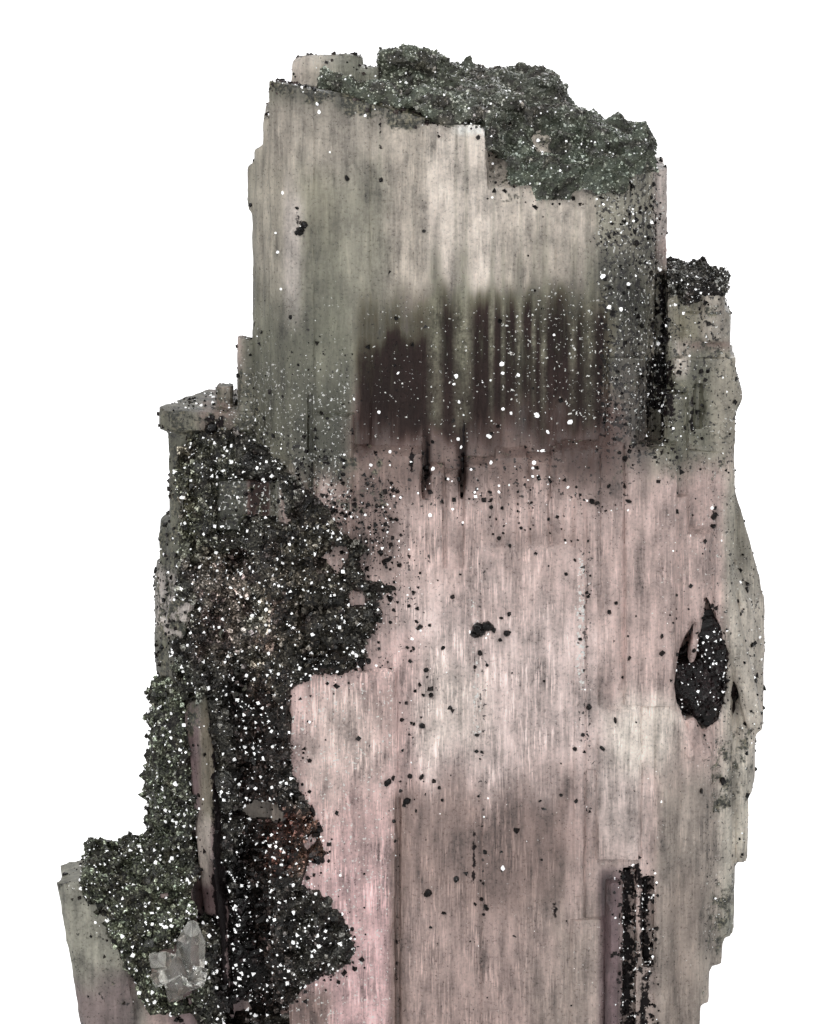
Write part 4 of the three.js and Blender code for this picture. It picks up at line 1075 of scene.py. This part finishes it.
class ANHYDRITE_OT_crusts(bpy.types.Operator):
    """Makes the dark glittering crusts"""

    bl_idname = "anhydrite.crusts"
    bl_label = "Crusts"

    def execute(self, context):
        settings = context.scene.anhydrite_crust
        shapes = grain_shapes((("pyramid", 0.28), ("wedge", 0.3), ("cube", 0.4), ("pyramid", 0.5)))
        crystal = crystal_tree()
        materials = {}
        for node, (slot, colour, width, density, glints, lumps, seed) in CRUSTS.items():
            piece = copy_of(node, node + "_grains")
            modify(piece, "Relief", "REMESH", mode="VOXEL", voxel_size=settings.voxel)
            settle_on_crystal(piece.data, crystal, lumps, seed)
            grain = settings.grain * width
            layers = [
                (density / MM**2, (grain * 0.6, grain * 2.2), (0.0, 0.84), EVEN),
                # Painted glints: grains whose shades make them white and glowing
                (glints / MM**2, (grain * 0.2, grain * 1.6), (0.9, 1.0), CLUMPED),
            ]
            scatter(piece, shapes, layers, seed, True)
            if colour not in materials:
                materials[colour] = crust_material(colour + "_crust", getattr(settings, colour), colour)
            finish_piece(piece, materials[colour], slot, node)
        discard(shapes)
        return {"FINISHED"}


# Single grains on the main face: their places and widths in the picture
GRAINS = [
    (479, 629, 15), (487, 626, 11), (494, 630, 6), (419, 627, 8), (443, 648, 5), (480, 653, 8),
    (487, 665, 4), (426, 670, 6), (427, 677, 4), (509, 614, 6), (507, 633, 8), (501, 618, 5),
    (500, 640, 5), (415, 691, 4), (423, 695, 5), (431, 695, 6), (422, 726, 7), (414, 724, 4),
    (477, 735, 5), (482, 752, 4), (512, 673, 3), (544, 681, 3), (510, 546, 4), (550, 533, 4),
    (548, 519, 4), (592, 501, 7), (629, 501, 8), (609, 486, 5), (566, 574, 4), (575, 560, 5),
    (609, 612, 5), (616, 603, 4), (636, 616, 3), (662, 636, 6), (662, 653, 7), (629, 658, 6),
    (628, 636, 3), (615, 720, 6), (602, 748, 8), (589, 707, 7), (575, 749, 5), (670, 615, 3),
    (388, 782, 9), (393, 778, 6), (422, 777, 8), (410, 776, 6), (407, 801, 8), (416, 811, 4),
    (442, 800, 4), (394, 821, 5), (395, 841, 4), (428, 893, 9), (456, 879, 7), (475, 904, 5),
    (482, 899, 5), (487, 909, 4), (444, 913, 6), (485, 852, 6), (576, 801, 5), (540, 801, 4),
    (561, 795, 4), (701, 791, 7), (722, 781, 9), (427, 478, 7), (427, 468, 7), (463, 470, 7),
    (463, 460, 6), (411, 464, 5), (517, 480, 3), (517, 486, 2), (518, 492, 3), (518, 498, 2),
    (518, 504, 3), (518, 511, 3), (518, 517, 2), (519, 523, 3), (521, 528, 4), (525, 530, 3),
    (530, 529, 3), (533, 525, 2), (533, 518, 2), (533, 508, 2), (490, 492, 5), (491, 500, 6),
    (491, 507, 5), (490, 517, 3), (491, 526, 3), (493, 534, 3), (499, 538, 5), (503, 533, 4),
    (504, 526, 3), (502, 508, 4), (500, 538, 4), (300, 231, 9), (304, 225, 8), (296, 233, 6),
    (482, 631, 11), (475, 634, 9), (489, 628, 8), (565, 540, 3), (571, 541, 3), (578, 540, 3),
    (588, 541, 3), (318, 668, 15), (330, 665, 14), (342, 662, 11), (306, 676, 11), (352, 664, 9),
    (361, 662, 9), (369, 661, 7), (312, 812, 12), (318, 830, 9), (317, 858, 13), (309, 852, 9),
    (323, 860, 7), (300, 806, 9), (386, 560, 8), (424, 231, 4), (251, 205, 5), (297, 208, 5),
    (347, 178, 7), (381, 180, 5), (714, 516, 9), (713, 526, 7), (715, 508, 5), (237, 405, 9),
    (211, 428, 12), (207, 434, 9),
]
# Single grains painted as glints, white and glowing a little: their places and widths in the picture
PAINTED_GLINT_GRAINS = [
    (354, 399, 4), (379, 412, 4), (398, 373, 4), (411, 462, 4), (390, 452, 4), (371, 465, 4),
    (464, 415, 4), (459, 402, 4), (458, 439, 4), (461, 447, 4), (489, 436, 6), (503, 409, 4),
    (511, 413, 4), (518, 375, 4), (537, 415, 6), (548, 432, 5), (554, 335, 3), (570, 422, 6),
    (542, 451, 6), (534, 463, 5), (491, 463, 5), (418, 493, 4), (433, 469, 4), (448, 479, 3),
    (499, 492, 4), (603, 276, 6), (609, 307, 5), (621, 309, 5), (628, 284, 4), (658, 344, 4),
    (301, 227, 4), (283, 193, 5), (276, 233, 3), (278, 252, 4), (281, 289, 3), (456, 376, 5),
    (454, 384, 4), (502, 364, 5), (503, 373, 4), (317, 104, 5), (319, 112, 4), (397, 98, 4),
    (538, 141, 5), (712, 508, 4), (503, 868, 6), (509, 485, 3), (533, 468, 3), (430, 515, 4),
    (568, 487, 4), (470, 632, 4), (488, 634, 3),
]


def seen_at(crystal, across, down):
    """The place and the normal of the crystal where a point of the picture shows it."""
    camera = bpy.context.scene.camera.matrix_world
    ray = Vector(((across - PICTURE[0] / 2) * PIXEL, (PICTURE[1] / 2 - down) * PIXEL, -1.0))
    return crystal.ray_cast(camera.translation, (camera.to_3x3() @ ray).normalized())[:2]


def add_single_grain(place, normal, width, shade, number):
    bpy.ops.mesh.primitive_ico_sphere_add(
        subdivisions=2 if width > LARGE_GRAIN else 1,
        radius=width / 2,
        location=place + normal * width * 0.12,
        rotation=(number * 1.7, number * 2.3, number * 0.9),
        scale=(1.0, 0.75 + 0.25 * math.sin(number * 1.3), 0.9 + 0.3 * math.sin(number * 2.1)),
    )
    grain = bpy.context.object
    bpy.ops.object.transform_apply(location=True, rotation=True, scale=True)
    edit((bpy.ops.transform.vertex_random, {"offset": width * 0.15, "seed": number}))
    store(grain.data, "shade", np.full(len(grain.data.vertices), shade))
    store(grain.data, "tone", np.ones((len(grain.data.vertices), 3)))
    return grain


class ANHYDRITE_OT_grains(bpy.types.Operator):
    """Sprinkles loose grains on the crystal"""

    bl_idname = "anhydrite.grains"
    bl_label = "Loose grains"

    def execute(self, context):
        settings = context.scene.anhydrite_crust
        crystal = crystal_tree()
        piece = add_object("loose_grains", bpy.data.objects["anhydrite_crystal"].data.copy())
        places = points_of(piece.data)
        # Grains on the top are lighter
        lighter = 1 + 5 * smoothstep(58.5, 60.5, places[:, 2])
        store(piece.data, "tone", tones_at(places) * lighter[:, None])
        shapes = grain_shapes((("ball", 0.3), ("cube", 0.5), ("pyramid", 0.3), ("wedge", 0.3)))
        grain = settings.grain
        layers = [
            (0.5 / MM**2, (grain * 0.4, grain * 2.1), (0.0, 0.62), EVEN),
            # Painted glints: grains whose shades make them white and glowing
            (0.1 / MM**2, (grain * 0.35, grain * 1.3), (0.9, 1.0), CLUMPED),
        ]
        scatter(piece, shapes, layers, 15, False)
        discard(shapes)
        singles = []
        for marks, shades in ((GRAINS, (0.05, 0.3)), (PAINTED_GLINT_GRAINS, (0.95, 1.0))):
            for across, down, wide in marks:
                place, normal = seen_at(crystal, across, down)
                if place is None:
                    continue
                number = len(singles)
                shade = shades[0] + (shades[1] - shades[0]) * (number * 0.37 % 1)
                width = wide * CAMERA_DISTANCE * PIXEL
                singles.append(add_single_grain(place, normal, width, shade, number))
        bpy.ops.object.select_all(action="DESELECT")
        for single in (piece, *singles):
            single.select_set(True)
        context.view_layer.objects.active = piece
        bpy.ops.object.join()
        finish_piece(piece, crust_material("loose_grains", settings.loose, "loose"), "dark_crust")
        return {"FINISHED"}


class ANHYDRITE_OT_clear(bpy.types.Operator):
    """Makes the small colourless crystals"""

    bl_idname = "anhydrite.clear"
    bl_label = "Clear crystals"

    def execute(self, context):
        piece = copy_of("clear_crystals", "clear_crystal_group")
        edges = {"limit_method": "ANGLE", "angle_limit": math.radians(35)}
        modify(piece, "Worn edges", "BEVEL", width=0.05 * MM, segments=1, **edges)
        finish_piece(piece, clear_material(), "clear_crystal", "clear_crystals")
        return {"FINISHED"}


# The stage


def look_at(thing, target):
    thing.rotation_euler = (target - thing.location).to_track_quat("-Z", "Y").to_euler()


def add_light(name, place, size, power):
    """An area light in millimetres, aimed at the middle of the crystal."""
    light = bpy.data.lights.new(name, "AREA")
    light.shape = "DISK"
    light.size = size * MM
    light.energy = power
    lamp = add_object(name, light)
    lamp.location = Vector(place) * MM
    look_at(lamp, Vector((0, 0, 32)) * MM)


# Large lights: place and width in millimetres, and power as a share of the key light's
LIGHTS = {
    "key": ((-250, -500, 420), 260, 1.0),
    "fill": ((420, -420, 160), 300, 0.35),
    "back": ((150, 480, 330), 320, 0.6),
}
# Small lights that glint on the grains
GLINT_WIDTH = 26
GLINT_PLACES = [
    (-260, -420, 330),
    (180, -480, 260),
    (330, -300, 420),
    (-420, -180, 240),
    (60, -520, 90),
    (-120, -350, 520),
]


class ANHYDRITE_OT_stage(bpy.types.Operator):
    """Sets the floor, lights and camera"""

    bl_idname = "anhydrite.stage"
    bl_label = "Stage"

    def execute(self, context):
        settings = context.scene.anhydrite_stage
        bpy.ops.object.select_all(action="DESELECT")
        bpy.ops.mesh.primitive_plane_add(size=settings.floor_width)
        floor = context.object
        floor.name = "floor"
        floor.data.materials.append(floor_material())

        world = bpy.data.worlds.new("sky")
        context.scene.world = world
        world.use_nodes = True
        graph = Graph(world.node_tree)
        background = world.node_tree.nodes["Background"]
        path = graph.add("ShaderNodeLightPath").outputs
        seen = graph.math("MAXIMUM", path["Is Camera Ray"], path["Is Transmission Ray"])
        graph.feed(background.inputs["Strength"], graph.window(seen, 0.0, 1.0, settings.sky, 1.2))
        background.inputs["Color"].default_value = (1, 1, 1, 1)

        for name, (place, width, share) in LIGHTS.items():
            add_light(name, place, width, settings.key * share)
        for number, place in enumerate(GLINT_PLACES):
            add_light(f"glint_{number}", place, GLINT_WIDTH, settings.glint)

        camera = add_object("camera", bpy.data.cameras.new("camera"))
        tilt = math.radians(CAMERA_ELEVATION)
        camera.location = AIM + Vector((0, -math.cos(tilt), math.sin(tilt))) * CAMERA_DISTANCE
        look_at(camera, AIM)
        camera.data.lens = LENS
        camera.data.clip_start = 0.01
        context.scene.camera = camera
        context.scene.view_settings.view_transform = "Standard"
        return {"FINISHED"}


class ANHYDRITE_PT_panel(bpy.types.Panel):
    """Lists the steps that make the crystal"""

    bl_idname = "ANHYDRITE_PT_panel"
    bl_label = "Anhydrite crystal"
    bl_space_type = "VIEW_3D"
    bl_region_type = "UI"
    bl_category = "Anhydrite"

    def draw(self, context):
        for name in ("anhydrite_crystal", "anhydrite_crust", "anhydrite_stage"):
            settings = getattr(context.scene, name)
            box = self.layout.box()
            for key in settings.bl_rna.properties.keys():
                if key not in {"rna_type", "name"}:
                    box.prop(settings, key)
        for operator in STEPS:
            self.layout.operator(operator.bl_idname)


STEPS = (
    ANHYDRITE_OT_stage,
    ANHYDRITE_OT_crystal,
    ANHYDRITE_OT_crusts,
    ANHYDRITE_OT_grains,
    ANHYDRITE_OT_clear,
)
CLASSES = (CrystalSettings, CrustSettings, StageSettings, *STEPS, ANHYDRITE_PT_panel)


def register():
    for cls in CLASSES:
        bpy.utils.register_class(cls)
    bpy.types.Scene.anhydrite_crystal = PointerProperty(type=CrystalSettings)
    bpy.types.Scene.anhydrite_crust = PointerProperty(type=CrustSettings)
    bpy.types.Scene.anhydrite_stage = PointerProperty(type=StageSettings)


def unregister():
    del bpy.types.Scene.anhydrite_stage
    del bpy.types.Scene.anhydrite_crust
    del bpy.types.Scene.anhydrite_crystal
    for cls in reversed(CLASSES):
        bpy.utils.unregister_class(cls)


def write_sizes():
    """Updates the view layer."""
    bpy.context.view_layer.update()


def main():
    register()
    bpy.ops.anhydrite.stage()
    bpy.ops.anhydrite.crystal()
    bpy.ops.anhydrite.crusts()
    bpy.ops.anhydrite.grains()
    bpy.ops.anhydrite.clear()
    write_sizes()


if __name__ == "__main__":
    main()
